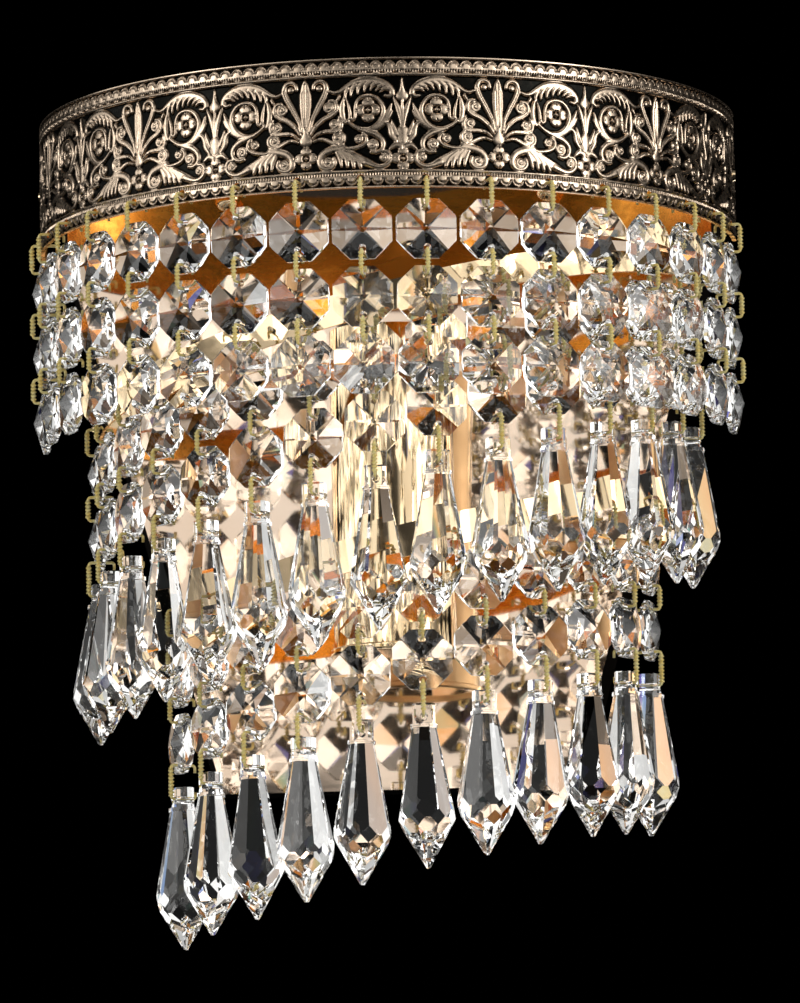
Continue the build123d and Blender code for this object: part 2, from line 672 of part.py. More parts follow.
STRINGS = {
    "top": string_pieces(top_clip, TOP_SPAN, 3, False),
    "middle": string_pieces(plain_clip, PLAIN_SPAN, 2, True),
    "lower": string_pieces(plain_clip, PLAIN_SPAN, 2, True),
}

for name, ring, radius, wall, height in BANDS:
    hole_up, angles = HOLES[name]
    for number, angle in enumerate(angles, start=1):
        place = string_location(ring, radius - wall / 2, angle, hole_up)
        with BuildPart() as string:
            with Locations(place):
                for piece, z in STRINGS[name]:
                    with Locations((0, BALANCE, z)):
                        add(piece)
        string.part.label = f"{name}_string_{number:02d}"
        export_step(string.part, f"parts/{name}_string_{number:02d}.step")
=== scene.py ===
"""Looks of the crystal wall sconce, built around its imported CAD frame. Sizes are in mm."""

import json
import math
import random

import bmesh
import bpy
import numpy as np
from mathutils import Matrix, Vector


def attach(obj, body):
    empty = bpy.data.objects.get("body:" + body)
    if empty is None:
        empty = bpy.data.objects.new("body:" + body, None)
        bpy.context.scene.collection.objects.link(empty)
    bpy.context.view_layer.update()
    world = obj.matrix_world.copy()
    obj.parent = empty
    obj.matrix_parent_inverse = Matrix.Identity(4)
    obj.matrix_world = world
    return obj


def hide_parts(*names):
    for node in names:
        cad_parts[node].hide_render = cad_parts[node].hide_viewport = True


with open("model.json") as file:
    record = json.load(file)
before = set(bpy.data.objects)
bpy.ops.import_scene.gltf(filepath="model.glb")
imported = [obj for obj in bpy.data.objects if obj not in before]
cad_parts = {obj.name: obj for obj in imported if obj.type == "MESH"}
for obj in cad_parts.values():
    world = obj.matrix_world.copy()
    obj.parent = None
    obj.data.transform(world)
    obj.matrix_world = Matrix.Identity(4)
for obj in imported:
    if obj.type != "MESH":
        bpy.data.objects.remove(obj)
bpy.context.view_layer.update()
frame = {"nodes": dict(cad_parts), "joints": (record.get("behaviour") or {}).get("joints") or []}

MM = 0.001
FRAME_BODY = "sconce_frame"

# ---- photograph
# Fitted to the bands' edges in the photograph; distances and places are in metres.
PHOTO_LONG_SIDE_PX = 1003
FOCAL_PX = 9277.8
CAMERA_DISTANCE = 3.0
CAMERA_AZIMUTH = 4.5
CAMERA_ELEVATION = -8.87
CAMERA_ROLL = -1.031
CAMERA_TARGET = (0.00116, 0.0, -0.09759)
CAMERA_REACH = 100
SENSOR = 36.0

# ---- bands
PLATE_DEPTH = 13.0
HOLE_R = 1.2
PIVOT_DROP = 0.2  # a string's arm below the middle of its band hole
# x and z of the lower edge's middle, tilt in degrees, outer radius, wall, height
BANDS = {
    "top": (0.0, -18.0, 0.0, 112.0, 0.9, 41.3),
    "middle": (2.5, -56.0, 13.4, 99.5, 1.0, 9.4),
    "lower": (5.8, -130.9, 13.1, 82.0, 1.0, 10.3),
}
RIVET_BACK = 5.5  # rivet to the wall end of a band
RIVET_CLEAR = 2.6  # flat around a rivet
RIVET_FADE = 0.8  # from the flat to the full relief

# ---- frieze
UNIT_ANGLE = 31.25  # degrees from one palmette to the next
FIRST_PALMETTE = -8.5  # degrees from the band's middle
HALF_UNIT = 30.75  # palmette axis to tulip axis, as the pattern below is drawn
FIELD_STEP = 0.125  # grid that the pattern is drawn on
FIELD_MARGIN = 4  # drawn past both ends of a half unit
GROUND_R = 111.7
RELIEF_TOP = 0.85  # height that counts as 1 in the relief attribute
# Spacing of a band's mesh, along it and up it
TOP_GRID = ((0.22, 0.28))
PLAIN_GRID = (0.5, 0.5)
SEGMENT_COLUMNS = 280  # columns of the mesh in one stretch of the top band

STROKE_GROW = 1.38  # the stamping spreads every stroke
EYE_GROW = 1.22
PETAL_GROW = 1.06
# Heights above the ground
LEAF_BODY_TOP = 0.68
LEAF_TOP = 0.78
SCROLL_TOP = 0.85
RIM_TOP = 0.75
EDGE_TOP = 0.7
TOOTH_FOOT = 0.2
TOOTH_RISE = 0.5
LEAF_BODY_FLATNESS = 0.6
LEAF_BODY_BLURS = 3
STROKE_FLATNESS = 0.45  # 0.5 is round and less is flatter
# Height above the ground, and flatness
EYE_FORM = (0.9, 0.25)
PETAL_FORM = (0.8, 0.16)
HUB_FORM = (0.95, 0.35)
FILLET_FORM = (0.8, 0.4)
ARCH_FORM = (0.8, 0.22)
# Cuts: half width and depth
SPIRAL_CUT = (0.22, 0.3)
CENTRE_CUT = (0.3, 0.6)
NOTCH_CUT = (0.18, 0.35)
TIP_CUT = (0.2, 0.35)
STROKE_CUT = (0.2, 0.3)
ARCH_CUT = (0.26, 0.4)
SMALLEST_SPIRAL = 1.1  # a smaller eye stays a plain boss
SPIRAL_TURNS = 1.3
SPIRAL_POINTS = 16
SPIRAL_START = 0.75  # in shares of the eye's radius
SPIRAL_DRAW = 0.42  # drawn in by this share with each turn
HUB_SHARE = 0.6  # of the ring round a flower's centre
NOTCH_RADII = (1.3, 2.0, 2.7)
TIP_FROM = 0.8  # a petal's middle to the cut in its tip
TIP_LENGTH = 0.9
SCALLOP_PITCH = 4.1
SCALLOP_SHIFT = 0.05
ARCH_HALF = (2.12, 2.15)
ARCH_CUT_R = 1.5
ARCHES = range(-1, 9)  # all in a half unit, and one past each end
TOOTH_PITCH = 0.88

# ---- strings
BEAD_WIDTH = 18.8
BEAD_THICKNESS = 7.8
BEAD_GIRDLE = 1.2  # at the octagon's corners
BEAD_HOLE_R = 1.2
BEAD_HOLE_UP = 6.2  # bead's middle to a hole's middle
PENDANT_LENGTH = 51.5
PENDANT_WIDTH = 17.8
NECK_W = 7.0
NECK_D = 5.8
NECK_H = 6.4
NECK_CHAMFER = 1.0
NECK_LAP = 0.3  # the neck's foot inside the collar
COLLAR_W = 8.3
COLLAR_H = 1.1
COLLAR_LAP_UP = 0.01  # the collar's top above NECK_H
COLLAR_LAP_DOWN = 0.05  # the collar's foot inside the body
BODY_TOP_W = 7.6
SHOULDER_UP = 15.0
SHOULDER_SLOPE = 0.2
SHOULDER_TRIM = 0.3
TIP_W = 1.2
PENDANT_HOLE_R = 1.2
PENDANT_HOLE_IN = 4.0
HALF_FACET = 22.5  # degrees from a facet's middle to its corner
HOLE_SIDES = 20
HOLE_CUT = 20  # longer than any crystal is thick
# The cubes that the crystals are cut from
BEAD_BLOCK = BEAD_WIDTH * 1.5
PENDANT_BLOCK = PENDANT_LENGTH * 2.2
WIRE_R = 0.45
WIRE_ANGLES = np.linspace(0, 2 * math.pi, 10, endpoint=False)
CLIP_OUT = 3.8
CLIP_IN = 4.3
CLIP_BEND_R = 0.9
CLIP_CURL = 2.3
LEG_HALF_W = 1.0
LEG_HALF_T = 0.52
LEG_TWIST = 2.3  # length of one full turn of the twisted leg
LEG_STEP = 0.18  # between two rings of its mesh
HANG_GAP = 0.15  # clearance where glass hangs on wire
BALANCE = 0.06  # bead plane inside the pivot, so a string hangs plumb
# From hole to hole over a clip
TOP_LINK_GAP = 9.8
PLAIN_LINK_GAP = 9.2
LINK_GAP = 8.8
DROP_LINK_GAP = 12.0
BEAD_HANG = BEAD_HOLE_R - WIRE_R - HANG_GAP
PENDANT_HANG = PENDANT_HOLE_R - WIRE_R - HANG_GAP
TURN_DEG = 3.0  # a bead turns by up to this
LEAN_DEG = 1.0  # and leans by up to this

rng = random.Random(348)


# ==== materials
def new_material(name, inputs):
    """A material, its node tree and its shader, with some of the shader's inputs set."""
    mat = bpy.data.materials.new(name)
    mat.use_nodes = True
    shader = mat.node_tree.nodes["Principled BSDF"]
    for key, value in inputs.items():
        shader.inputs[key].default_value = value
    return mat, mat.node_tree, shader


def add_node(tree, kind, **values):
    """A shader node; values whose names are sockets are set on them, the others on the node."""
    node = tree.nodes.new(kind)
    for key, value in values.items():
        if key in node.inputs:
            node.inputs[key].default_value = value
        else:
            setattr(node, key, value)
    return node


def noise(tree, scale, detail, stretch=(1, 1, 1)):
    """Noise in object space; its size in mm is 1000 / scale."""
    place = add_node(tree, "ShaderNodeTexCoord")
    mapping = add_node(tree, "ShaderNodeMapping", Scale=stretch)
    tree.links.new(place.outputs["Object"], mapping.inputs["Vector"])
    cloud = add_node(tree, "ShaderNodeTexNoise", Scale=scale, Detail=detail)
    tree.links.new(mapping.outputs["Vector"], cloud.inputs["Vector"])
    return cloud.outputs["Fac"]


def ramp(tree, source, stops):
    """Colours along a value; a stop is (place, colour)."""
    node = add_node(tree, "ShaderNodeValToRGB")
    elements = node.color_ramp.elements
    while len(elements) < len(stops):
        elements.new(0.5)
    for element, (place, colour) in zip(elements, stops):
        element.position = place
        element.color = (*colour, 1.0)
    tree.links.new(source, node.inputs["Fac"])
    return node.outputs["Color"]


def remap(tree, source, low, high, first, last, kind="LINEAR"):
    """From `first` where the source is low to `last` where it is high."""
    node = add_node(tree, "ShaderNodeMapRange", interpolation_type=kind)
    for socket, value in zip(("From Min", "From Max", "To Min", "To Max"), (low, high, first, last)):
        node.inputs[socket].default_value = value
    tree.links.new(source, node.inputs["Value"])
    return node.outputs["Result"]


def maths(tree, operation, *sources):
    """One operation on sockets and numbers."""
    node = add_node(tree, "ShaderNodeMath", operation=operation)
    for socket, source in zip(node.inputs, sources):
        if isinstance(source, (int, float)):
            socket.default_value = source
        else:
            tree.links.new(source, socket)
    return node.outputs["Value"]


NOISE_LOW, NOISE_HIGH = 0.3, 0.7  # nearly all of a noise's values lie between these
WEAR_SPOTS = 0.24  # how much a noise adds to the relief's height when its colour is chosen
TOWARDS_WALL = 0.3  # a face looks towards the wall when its normal's Y is more than this


def spread(tree, source, low, high):
    """A noise stretched from low to high."""
    return remap(tree, source, NOISE_LOW, NOISE_HIGH, low, high)


def bump(tree, shader, source, depth):
    """A bump that is `depth` metres deep where the source goes from 0 to 1."""
    node = add_node(tree, "ShaderNodeBump", Strength=1.0, Distance=depth)
    tree.links.new(source, node.inputs["Height"])
    tree.links.new(node.outputs["Normal"], shader.inputs["Normal"])


def duller_behind(tree, roughness, extra):
    """A roughness with `extra` added on the faces that look towards the wall."""
    facing = add_node(tree, "ShaderNodeSeparateXYZ")
    tree.links.new(add_node(tree, "ShaderNodeTexCoord").outputs["Normal"], facing.inputs["Vector"])
    behind = maths(tree, "GREATER_THAN", facing.outputs["Y"], TOWARDS_WALL)
    return maths(tree, "MULTIPLY_ADD", behind, extra, roughness)


def polished_metal(name, light, dark, roughness, wave, behind=0.0, metallic=1.0):
    """Polished metal: faint clouds, fine wiping marks, a wavy sheet; `behind` roughens its back."""
    mat, tree, shader = new_material(name, {"Metallic": metallic})
    tones = [(NOISE_LOW, dark), (NOISE_HIGH, light)]
    tree.links.new(ramp(tree, noise(tree, scale=40, detail=4), tones), shader.inputs["Base Color"])
    marks = noise(tree, scale=400, detail=2, stretch=(0.15, 1, 1))
    grain = spread(tree, marks, roughness * 0.7, roughness * 1.4)
    if behind:
        grain = duller_behind(tree, grain, behind)
    tree.links.new(grain, shader.inputs["Roughness"])
    bump(tree, shader, noise(tree, scale=18, detail=1), wave)
    return mat


def relief_metal():
    """Stamped brass: near-black patina in the ground, rubbed rose bronze on the high points."""
    mat, tree, shader = new_material("antique_relief_looks", {"Metallic": 1.0})
    height = add_node(tree, "ShaderNodeAttribute", attribute_name="relief")
    spots = noise(tree, scale=500, detail=4)
    wear = maths(tree, "MULTIPLY_ADD", spots, WEAR_SPOTS, height.outputs["Fac"])
    shades = [
        (0.14, (0.008, 0.008, 0.007)),
        (0.3, (0.035, 0.025, 0.019)),
        (0.5, (0.25, 0.18, 0.125)),
        (0.8, (0.95, 0.755, 0.575)),
    ]
    tree.links.new(ramp(tree, wear, shades), shader.inputs["Base Color"])
    grain = spread(tree, noise(tree, scale=900, detail=3), 0.22, 0.36)
    tree.links.new(grain, shader.inputs["Roughness"])
    bump(tree, shader, noise(tree, scale=900, detail=2), depth=0.00002)
    return mat


def crystal_glass():
    """Clear glass whose facets are very slightly uneven, along their height most of all."""
    clear = {"Transmission Weight": 1.0, "IOR": 1.54, "Roughness": 0.0}
    mat, tree, shader = new_material("crystal_looks", clear | {"Base Color": (1.0, 0.998, 0.99, 1.0)})
    bump(tree, shader, noise(tree, scale=90, detail=0.0, stretch=(1, 1, 0.35)), depth=0.00012)
    return mat


def wire_metal():
    """Yellow wire; partly scattering, as the fine twist breaks up its reflections."""
    mat, tree, shader = new_material("clip_gold", {"Metallic": 0.4})
    tone = noise(tree, scale=700, detail=2)
    colours = [(0.35, (1.0, 0.77, 0.24)), (0.65, (1.0, 0.9, 0.45))]
    tree.links.new(ramp(tree, tone, colours), shader.inputs["Base Color"])
    tree.links.new(spread(tree, tone, 0.34, 0.48), shader.inputs["Roughness"])
    return mat


def plastic(name, light, dark, roughness):
    """Moulded plastic: a faint mottle and a fine moulded grain."""
    mat, tree, shader = new_material(name, {})
    tone = noise(tree, scale=120, detail=3)
    tones = [(NOISE_LOW, dark), (NOISE_HIGH, light)]
    tree.links.new(ramp(tree, tone, tones), shader.inputs["Base Color"])
    tree.links.new(spread(tree, tone, roughness * 0.85, roughness * 1.1), shader.inputs["Roughness"])
    bump(tree, shader, noise(tree, scale=2500, detail=2), depth=0.00003)
    return mat


ROSE_MIRROR = polished_metal("rose_mirror_looks", (0.93, 0.76, 0.61), (0.86, 0.66, 0.5),
                             roughness=0.04, wave=0.0009, behind=0.4)
GOLD = polished_metal("gold_polish_looks", (0.96, 0.76, 0.5), (0.88, 0.66, 0.4),
                      roughness=0.08, wave=0.0003, behind=0.4)
# The bands' backs: the same gold as their fronts, painted a deeper, brighter orange as painted warm
# bounce light between the gold surfaces
INNER_GOLD_PAINTED_BOUNCE = polished_metal("inner_gold_painted_bounce_looks", (1.0, 0.52, 0.09), (0.95, 0.37, 0.035),
                            roughness=0.25, wave=0.0007, metallic=0.8)
ZINC = polished_metal("zinc_steel_looks", (0.72, 0.72, 0.74), (0.6, 0.6, 0.63),
                      roughness=0.42, wave=0.00004)
RELIEF = relief_metal()
CRYSTAL = crystal_glass()
WIRE_GOLD = wire_metal()
HOLDER = plastic("holder_looks", (0.86, 0.84, 0.78), (0.8, 0.78, 0.71), roughness=0.45)
BLOCK = plastic("block_looks", (0.8, 0.8, 0.78), (0.72, 0.72, 0.7), roughness=0.5)
LEADS = plastic("lead_looks", (0.75, 0.72, 0.66), (0.68, 0.65, 0.58), roughness=0.35)

NODE_MATERIALS = [
    (ROSE_MIRROR, ["back_plate"]),
    (ZINC, ["wall_bracket", "bracket_screws", "lug_bolts"]),
    (GOLD, ["cap_nuts", "band_lugs", "lug_rivets", "lamp_arm", "arm_nuts", "lamp_sleeve",
            "sleeve_discs"]),
    (HOLDER, ["lampholder"]),
    (BLOCK, ["terminal_block"]),
    (LEADS, ["lamp_leads"]),
]
for mat, node_names in NODE_MATERIALS:
    for node_name in node_names:
        for node_slot in frame["nodes"][node_name].material_slots:
            node_slot.material = mat


# ==== pieces
def add_object(name, data):
    """An object in the scene."""
    thing = bpy.data.objects.new(name, data)
    bpy.context.scene.collection.objects.link(thing)
    return thing


def add_piece(name, points, faces, materials, body, slot, replaced=(), smooth=False):
    """A mesh piece from points in mm; it rides on a body and stands for CAD nodes."""
    mesh = bpy.data.meshes.new(name)
    mesh.from_pydata([tuple(p) for p in np.asarray(points) * MM], [], faces)
    for mat in materials:
        mesh.materials.append(mat)
    mesh.polygons.foreach_set("use_smooth", [smooth] * len(mesh.polygons))
    piece = add_object(name, mesh)
    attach(piece, body)
    if replaced:
        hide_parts(*replaced)
    return piece


# ==== frieze
def curve_points(control, step):
    """Points every `step` mm along a smooth curve through the control points."""
    p = np.array([control[0], *control, control[-1]], float)
    out = []
    for a, b, c, d in zip(p, p[1:], p[2:], p[3:]):
        count = max(2, int(np.linalg.norm(c - b) / step) + 1)
        t = np.linspace(0, 1, count, endpoint=False)[:, None]
        squared, cubed = 2 * a - 5 * b + 4 * c - d, 3 * b - a - 3 * c + d
        out.append(0.5 * (2 * b + (c - a) * t + squared * t**2 + cubed * t**3))
    return np.vstack([*out, p[-1:]])


class Field:
    """Height above the ground of one half unit of the frieze, on a fine grid."""

    def __init__(self, width, height):
        self.u = np.arange(-FIELD_MARGIN, width + FIELD_MARGIN, FIELD_STEP)
        self.v = np.arange(0, height + FIELD_STEP, FIELD_STEP)
        self.h = np.zeros((len(self.v), len(self.u)))

    def window(self, u, v, reach):
        cols = np.abs(self.u - u) <= reach
        rows = np.abs(self.v - v) <= reach
        du, dv = np.meshgrid(self.u[cols] - u, self.v[rows] - v)
        return np.ix_(rows, cols), du, dv

    def boss(self, u, v, ru, rv, height, flatness):
        """A boss with half axes ru and rv."""
        box, du, dv = self.window(u, v, max(ru, rv))
        d = (du / ru) ** 2 + (dv / rv) ** 2
        self.h[box] = np.maximum(self.h[box], height * np.clip(1 - d, 0, None) ** flatness)

    def ridge(self, control, widths, height):
        """A raised stroke along a curve; widths are half widths spread evenly along it."""
        line = curve_points(control, FIELD_STEP)
        along = np.linspace(0, 1, len(line))
        for w, (u, v) in zip(np.interp(along, np.linspace(0, 1, len(widths)), widths), line):
            self.boss(u, v, w * STROKE_GROW, w * STROKE_GROW, height, STROKE_FLATNESS)

    def groove(self, control, half_w, depth):
        """A cut along a curve, never below the ground."""
        mark = np.zeros_like(self.h)
        for u, v in curve_points(control, FIELD_STEP):
            box, du, dv = self.window(u, v, half_w)
            mark[box] = np.maximum(mark[box], 1 - np.sqrt(du**2 + dv**2) / half_w)
        self.h = np.maximum(np.minimum(self.h, self.h - depth * np.sqrt(np.clip(mark, 0, 1))), 0)

    def volute(self, u, v, radius, start_deg):
        """A boss with a spiral cut into it, as the eye of a scroll."""
        radius *= EYE_GROW
        self.boss(u, v, radius, radius, *EYE_FORM)
        if radius > SMALLEST_SPIRAL:
            turns = np.linspace(0, SPIRAL_TURNS, SPIRAL_POINTS)
            angles = math.radians(start_deg) + 2 * math.pi * turns
            reach = radius * (SPIRAL_START - SPIRAL_DRAW * turns)
            self.groove(list(zip(u + reach * np.cos(angles), v + reach * np.sin(angles))), *SPIRAL_CUT)

    def leaf(self, outline, height):
        """A flat area with soft edges, from its outline."""
        uu, vv = np.meshgrid(self.u, self.v)
        mask = np.zeros(uu.shape, bool)
        for (u0, v0), (u1, v1) in zip(outline, outline[1:] + outline[:1]):
            crosses = (v0 > vv) != (v1 > vv)
            slope = (u1 - u0) / (v1 - v0) if v1 != v0 else 0.0
            mask ^= crosses & (uu < u0 + slope * (vv - v0))
        soft = mask.astype(float)
        for _ in range(LEAF_BODY_BLURS):
            for axis in (0, 1):
                soft = (np.roll(soft, 1, axis) + soft + np.roll(soft, -1, axis)) / 3
        self.h = np.maximum(self.h, height * soft**LEAF_BODY_FLATNESS)

    def across(self, low, high, height, flatness=0.0):
        """A strip along the band: level, or rounded across as a boss is."""
        rows = (self.v >= low) & (self.v <= high)
        t = (self.v[rows] - low) / (high - low)
        profile = height * np.clip(1 - (2 * t - 1) ** 2, 0, None) ** flatness
        self.h[rows] = np.maximum(self.h[rows], profile[:, None])

    def at(self, u, v):
        """Height at the given places, between the grid's points."""
        col = np.clip((u - self.u[0]) / FIELD_STEP, 0, len(self.u) - 1.001)
        row = np.clip(v / FIELD_STEP, 0, len(self.v) - 1.001)
        c, r = col.astype(int), row.astype(int)
        fc, fr = col - c, row - r
        h = self.h
        low = h[r, c] * (1 - fc) + h[r, c + 1] * fc
        high = h[r + 1, c] * (1 - fc) + h[r + 1, c + 1] * fc
        return low * (1 - fr) + high * fr


# Curves of one half unit: u from the palmette's axis, v up from the band's lower edge.
# A scroll is its curve, half widths along it, its eye's u and v, and the eye's radius.
PALMETTE_SCROLLS = 4  # so many of the scrolls below, from the first, are the palmette's petals
SCROLLS = [
    ([(1.4, 18.5), (2.2, 22), (4.2, 26), (6, 29.3), (6.8, 31.7), (6.2, 33.7), (4.6, 34.3), (3.1, 33.5),
      (2.7, 32)], (0.4, 0.6, 0.8, 0.75, 0.6, 0.5), (4.6, 32), 0.9),
    ([(1.8, 17.6), (3.4, 20.2), (5.8, 22.2), (8.2, 23.3), (9.8, 24.6), (10.1, 26.2), (9.3, 27.6),
      (7.9, 27.9)], (0.4, 0.65, 0.7, 0.6, 0.5), (7.5, 25.8), 1.5),
    ([(2.4, 16.4), (4.2, 17.8), (6.8, 18.3), (9.4, 18.2), (11, 18.9), (11.5, 20.4), (10.8, 21.9)],
     (0.35, 0.55, 0.6, 0.5), (9.2, 20.5), 1.35),
    ([(2.6, 15.3), (4.5, 15.9), (6.4, 15.6), (8.4, 14.6), (10.4, 14.1), (12, 15), (12.2, 16.8),
      (11.2, 17.9)], (0.35, 0.55, 0.6, 0.45), (10.2, 16.2), 1.45),
    ([(11.5, 13), (9, 12.6), (6.5, 11.8), (5, 10.5), (4.4, 8.8), (4.9, 7.2), (6.3, 6.4), (8.2, 6.7),
      (9.3, 8.1), (8.9, 9.7)], (1.1, 1.0, 0.8, 0.6, 0.5), (7.1, 8.5), 1.35),
    ([(19, 8), (21.5, 7), (23.5, 6.6), (25.5, 7.2), (26.7, 8.6), (26.7, 10.2), (25.8, 11.3),
      (24.4, 11.4)], (0.9, 0.7, 0.6, 0.5), (24.7, 9.5), 1.2),
    ([(12, 12.9), (13.5, 12.5), (15.8, 12.7), (18, 13.4), (19.2, 14.6), (19.2, 16), (18.2, 17)],
     (0.5, 0.6, 0.55, 0.45), (16.9, 15.5), 1.25),
    ([(13.3, 21.3), (15, 19.9), (17, 18.8), (19.5, 17.9), (22, 17), (24, 15.4), (24.6, 13.6),
      (24, 12), (22.4, 11.1), (20.8, 11.3)], (0.4, 0.6, 0.85, 0.75, 0.6, 0.5), (21.3, 13.6), 1.6),
    ([(17, 18.6), (20.5, 18.7), (23, 20.3), (24.5, 22.8), (24.8, 25), (24, 27), (22.4, 28.6),
      (20.3, 29.2), (18.2, 28.9), (16.7, 27.8), (16, 26), (15.9, 23.8), (15.8, 22.3), (15, 21.7),
      (14.2, 22.3)], (0.6, 0.65, 0.55, 0.5, 0.45), (14.4, 22.4), 0.5),
]
# Leaves and ribs: curve and half widths along it
LEAVES = [
    ([(10.4, 12.4), (12.6, 10), (13.2, 7.1)], (0.6, 0.75, 0.5)),
    ([(12, 12), (14.4, 9.6), (15.2, 6.8)], (0.6, 0.75, 0.5)),
    ([(13.4, 11.4), (16.2, 9), (17.3, 6.7)], (0.6, 0.75, 0.5)),
    ([(9.9, 11.4), (10.9, 9.2), (11.3, 7.1)], (0.5, 0.65, 0.4)),
    ([(19.2, 18.2), (22.4, 19.2), (25, 21.4), (26.4, 23.8), (27.4, 26.6)], (0.5, 1.0, 1.2, 0.8, 0.2)),
    ([(24.8, 20.9), (26.3, 22.2), (27.6, 24.3)], (0.6, 0.6, 0.2)),
    ([(7.8, 30.9), (9.5, 30.4), (11.2, 30.8), (13, 32), (15.5, 33.4), (18, 34), (20.5, 34.1),
      (23.5, 33.6), (26, 32.4), (27.4, 30.9), (27.7, 29.6)], (0.4, 0.6, 0.8, 1.0, 1.0, 0.9, 0.7)),
    ([(13.6, 31.6), (12.9, 30), (12.9, 28.6)], (0.6, 0.5, 0.3)),
    ([(16, 32.8), (14.9, 31), (14.6, 29.2)], (0.7, 0.55, 0.3)),
    ([(18.5, 33.4), (17.1, 31.8), (16.7, 29.9)], (0.7, 0.6, 0.3)),
    ([(20.9, 33.6), (19.4, 32.4), (18.8, 30.7)], (0.7, 0.6, 0.3)),
    ([(23.1, 33.2), (21.6, 32.4), (20.8, 31.1)], (0.7, 0.55, 0.3)),
    ([(25, 32.3), (23.6, 31.9), (22.6, 30.9)], (0.6, 0.5, 0.3)),
    ([(26.6, 31.2), (25, 31.2), (23.9, 30.4)], (0.6, 0.45, 0.3)),
    ([(27.6, 29.8), (26.7, 28.9), (25.3, 29.1)], (0.6, 0.5, 0.35)),
    ([(12.7, 20.8), (12, 22.6), (11.7, 24.8), (12, 27.2), (12.6, 29.2)], (0.5, 0.75, 0.7, 0.2)),
    ([(13.2, 20.8), (14.2, 22.6), (14.1, 24.8), (13.6, 27), (13, 28.6)], (0.4, 0.5, 0.45, 0.15)),
    ([(12.4, 21), (11.4, 21.9), (10.5, 22.9)], (0.5, 0.4, 0.2)),
    ([(24.3, 20.7), (26.1, 20.1), (26.9, 18.6), (27.3, 16.6), (28.6, 14.6)], (0.3, 0.6, 0.7, 0.7, 0.5)),
    ([(27.3, 21.2), (27.9, 19.2), (29, 16.6)], (0.2, 0.6, 0.6)),
    ([(28, 28.4), (28.9, 26.4), (29.7, 24), (30.1, 21.5), (30.3, 19.5)], (0.2, 0.6, 0.75, 0.5, 0.3)),
    ([(26.7, 12.2), (28.4, 13.4), (30.3, 12.9)], (0.4, 0.8, 0.9)),
    ([(HALF_UNIT, 19), (HALF_UNIT, 23.5), (HALF_UNIT, 28)], (0.35, 0.5, 0.35)),
    ([(HALF_UNIT, 34.7), (HALF_UNIT, 32), (HALF_UNIT, 29)], (0.15, 0.3, 0.5, 0.9, 1.5)),
    ([(HALF_UNIT, 18), (HALF_UNIT, 16), (HALF_UNIT, 14.6)], (1.4, 1.6, 1.1)),
    ([(0, 34.8), (0, 26), (0, 17)], (0.15, 0.95, 1.4, 1.45, 1.3, 1.0, 0.75, 0.6)),
    ([(0, 19.3), (0, 17), (0, 15.6)], (0.15, 0.9, 1.6)),
    ([(10.4, 28.2), (11, 29.2)], (0.45, 0.45)),
]
LEAF_BODY = [(9.5, 13), (11.6, 13.4), (14, 12.2), (17, 10.6), (20, 9), (22.5, 7.4), (20.5, 6.8),
             (18.5, 7.2), (16.4, 7.8), (14.4, 8.2), (12.4, 8.6), (10.9, 9.4), (10.2, 11)]
# Petals: u, v, half width, half height
PETALS = [
    (0, 12.1, 1.75, 1.45), (2.1, 10, 1.45, 1.65), (0, 7.9, 1.75, 1.45),
    (20, 26.9, 1.95, 1.5), (22.2, 24.7, 1.5, 1.8), (19.9, 22.3, 1.95, 1.5), (17.7, 24.6, 1.45, 1.8),
    (28.7, 9.2, 1.6, 1.7), (HALF_UNIT, 7, 1.85, 1.45), (HALF_UNIT, 11.3, 1.7, 1.2),
]
# The ring round each flower's centre: u, v, radius
FLOWER_CENTRES = [(0, 10, 1.0), (19.9, 24.6, 1.15), (HALF_UNIT, 9.1, 0.95)]
# Veins of the palmette's central petal: curve, half width, depth
VEINS = [([(0, 33.5), (0, 26), (0, 19.5)], 0.28, 0.35)]
VEINS += [([(side, 31), (side, 26), (side * 0.5, 20)], 0.2, 0.25) for side in (-0.75, 0.75)]
# The two borders: heights of fillet, teeth, edge, rim and the arches' middle, and which way they arch
BORDERS = [
    ((35.3, 36.4), (36.55, 37.3), (37.3, 38.4), (40.75, BANDS["top"][5] + FIELD_STEP), 38.3, 1),
    ((4.7, 5.8), (3.85, 4.6), (2.8, 3.8), (0.0, 0.55), 2.95, -1),
]
ARCH_ANGLES = np.radians(np.linspace(0, 180, 9))
RING_ANGLES = np.linspace(0, 6.29, 13)  # just over one turn, so that the ring closes
NOTCH_ANGLES = np.radians([45, 135, 225, 315])


def arc(u, v, radius, angles):
    """Points around u and v, at angles in radians."""
    return [(u + radius * math.cos(a), v + radius * math.sin(a)) for a in angles]


def draw_strokes(field):
    """Leaves, scrolls and the scrolls' eyes."""
    field.leaf(LEAF_BODY, LEAF_BODY_TOP)
    for curve, widths in LEAVES:
        field.ridge(curve, widths, LEAF_TOP)
    for curve, widths, eye, eye_r in SCROLLS:
        field.ridge(curve, widths, SCROLL_TOP)
    for curve, widths, eye, eye_r in SCROLLS:
        end = curve[-1]
        field.volute(*eye, eye_r, math.degrees(math.atan2(end[1] - eye[1], end[0] - eye[0])))


def draw_flowers(field):
    """Petals, each flower's ringed centre, and cuts that notch the petals."""
    for u, v, ru, rv in PETALS:
        field.boss(u, v, ru * PETAL_GROW, rv * PETAL_GROW, *PETAL_FORM)
    for u, v, radius in FLOWER_CENTRES:
        field.groove(arc(u, v, radius, RING_ANGLES), *CENTRE_CUT)
        field.boss(u, v, radius * HUB_SHARE, radius * HUB_SHARE, *HUB_FORM)
        for a in NOTCH_ANGLES:
            ray = [(u + r * math.cos(a), v + r * math.sin(a)) for r in NOTCH_RADII]
            field.groove(ray, *NOTCH_CUT)
    for u, v, ru, rv in PETALS:
        centre = min(FLOWER_CENTRES, key=lambda c: math.hypot(c[0] - u, c[1] - v))
        out = np.array([u - centre[0], v - centre[1]])
        out /= np.linalg.norm(out)
        tip = np.array([u, v]) + out * TIP_FROM
        field.groove([tuple(tip), tuple(tip + out * TIP_LENGTH)], *TIP_CUT)


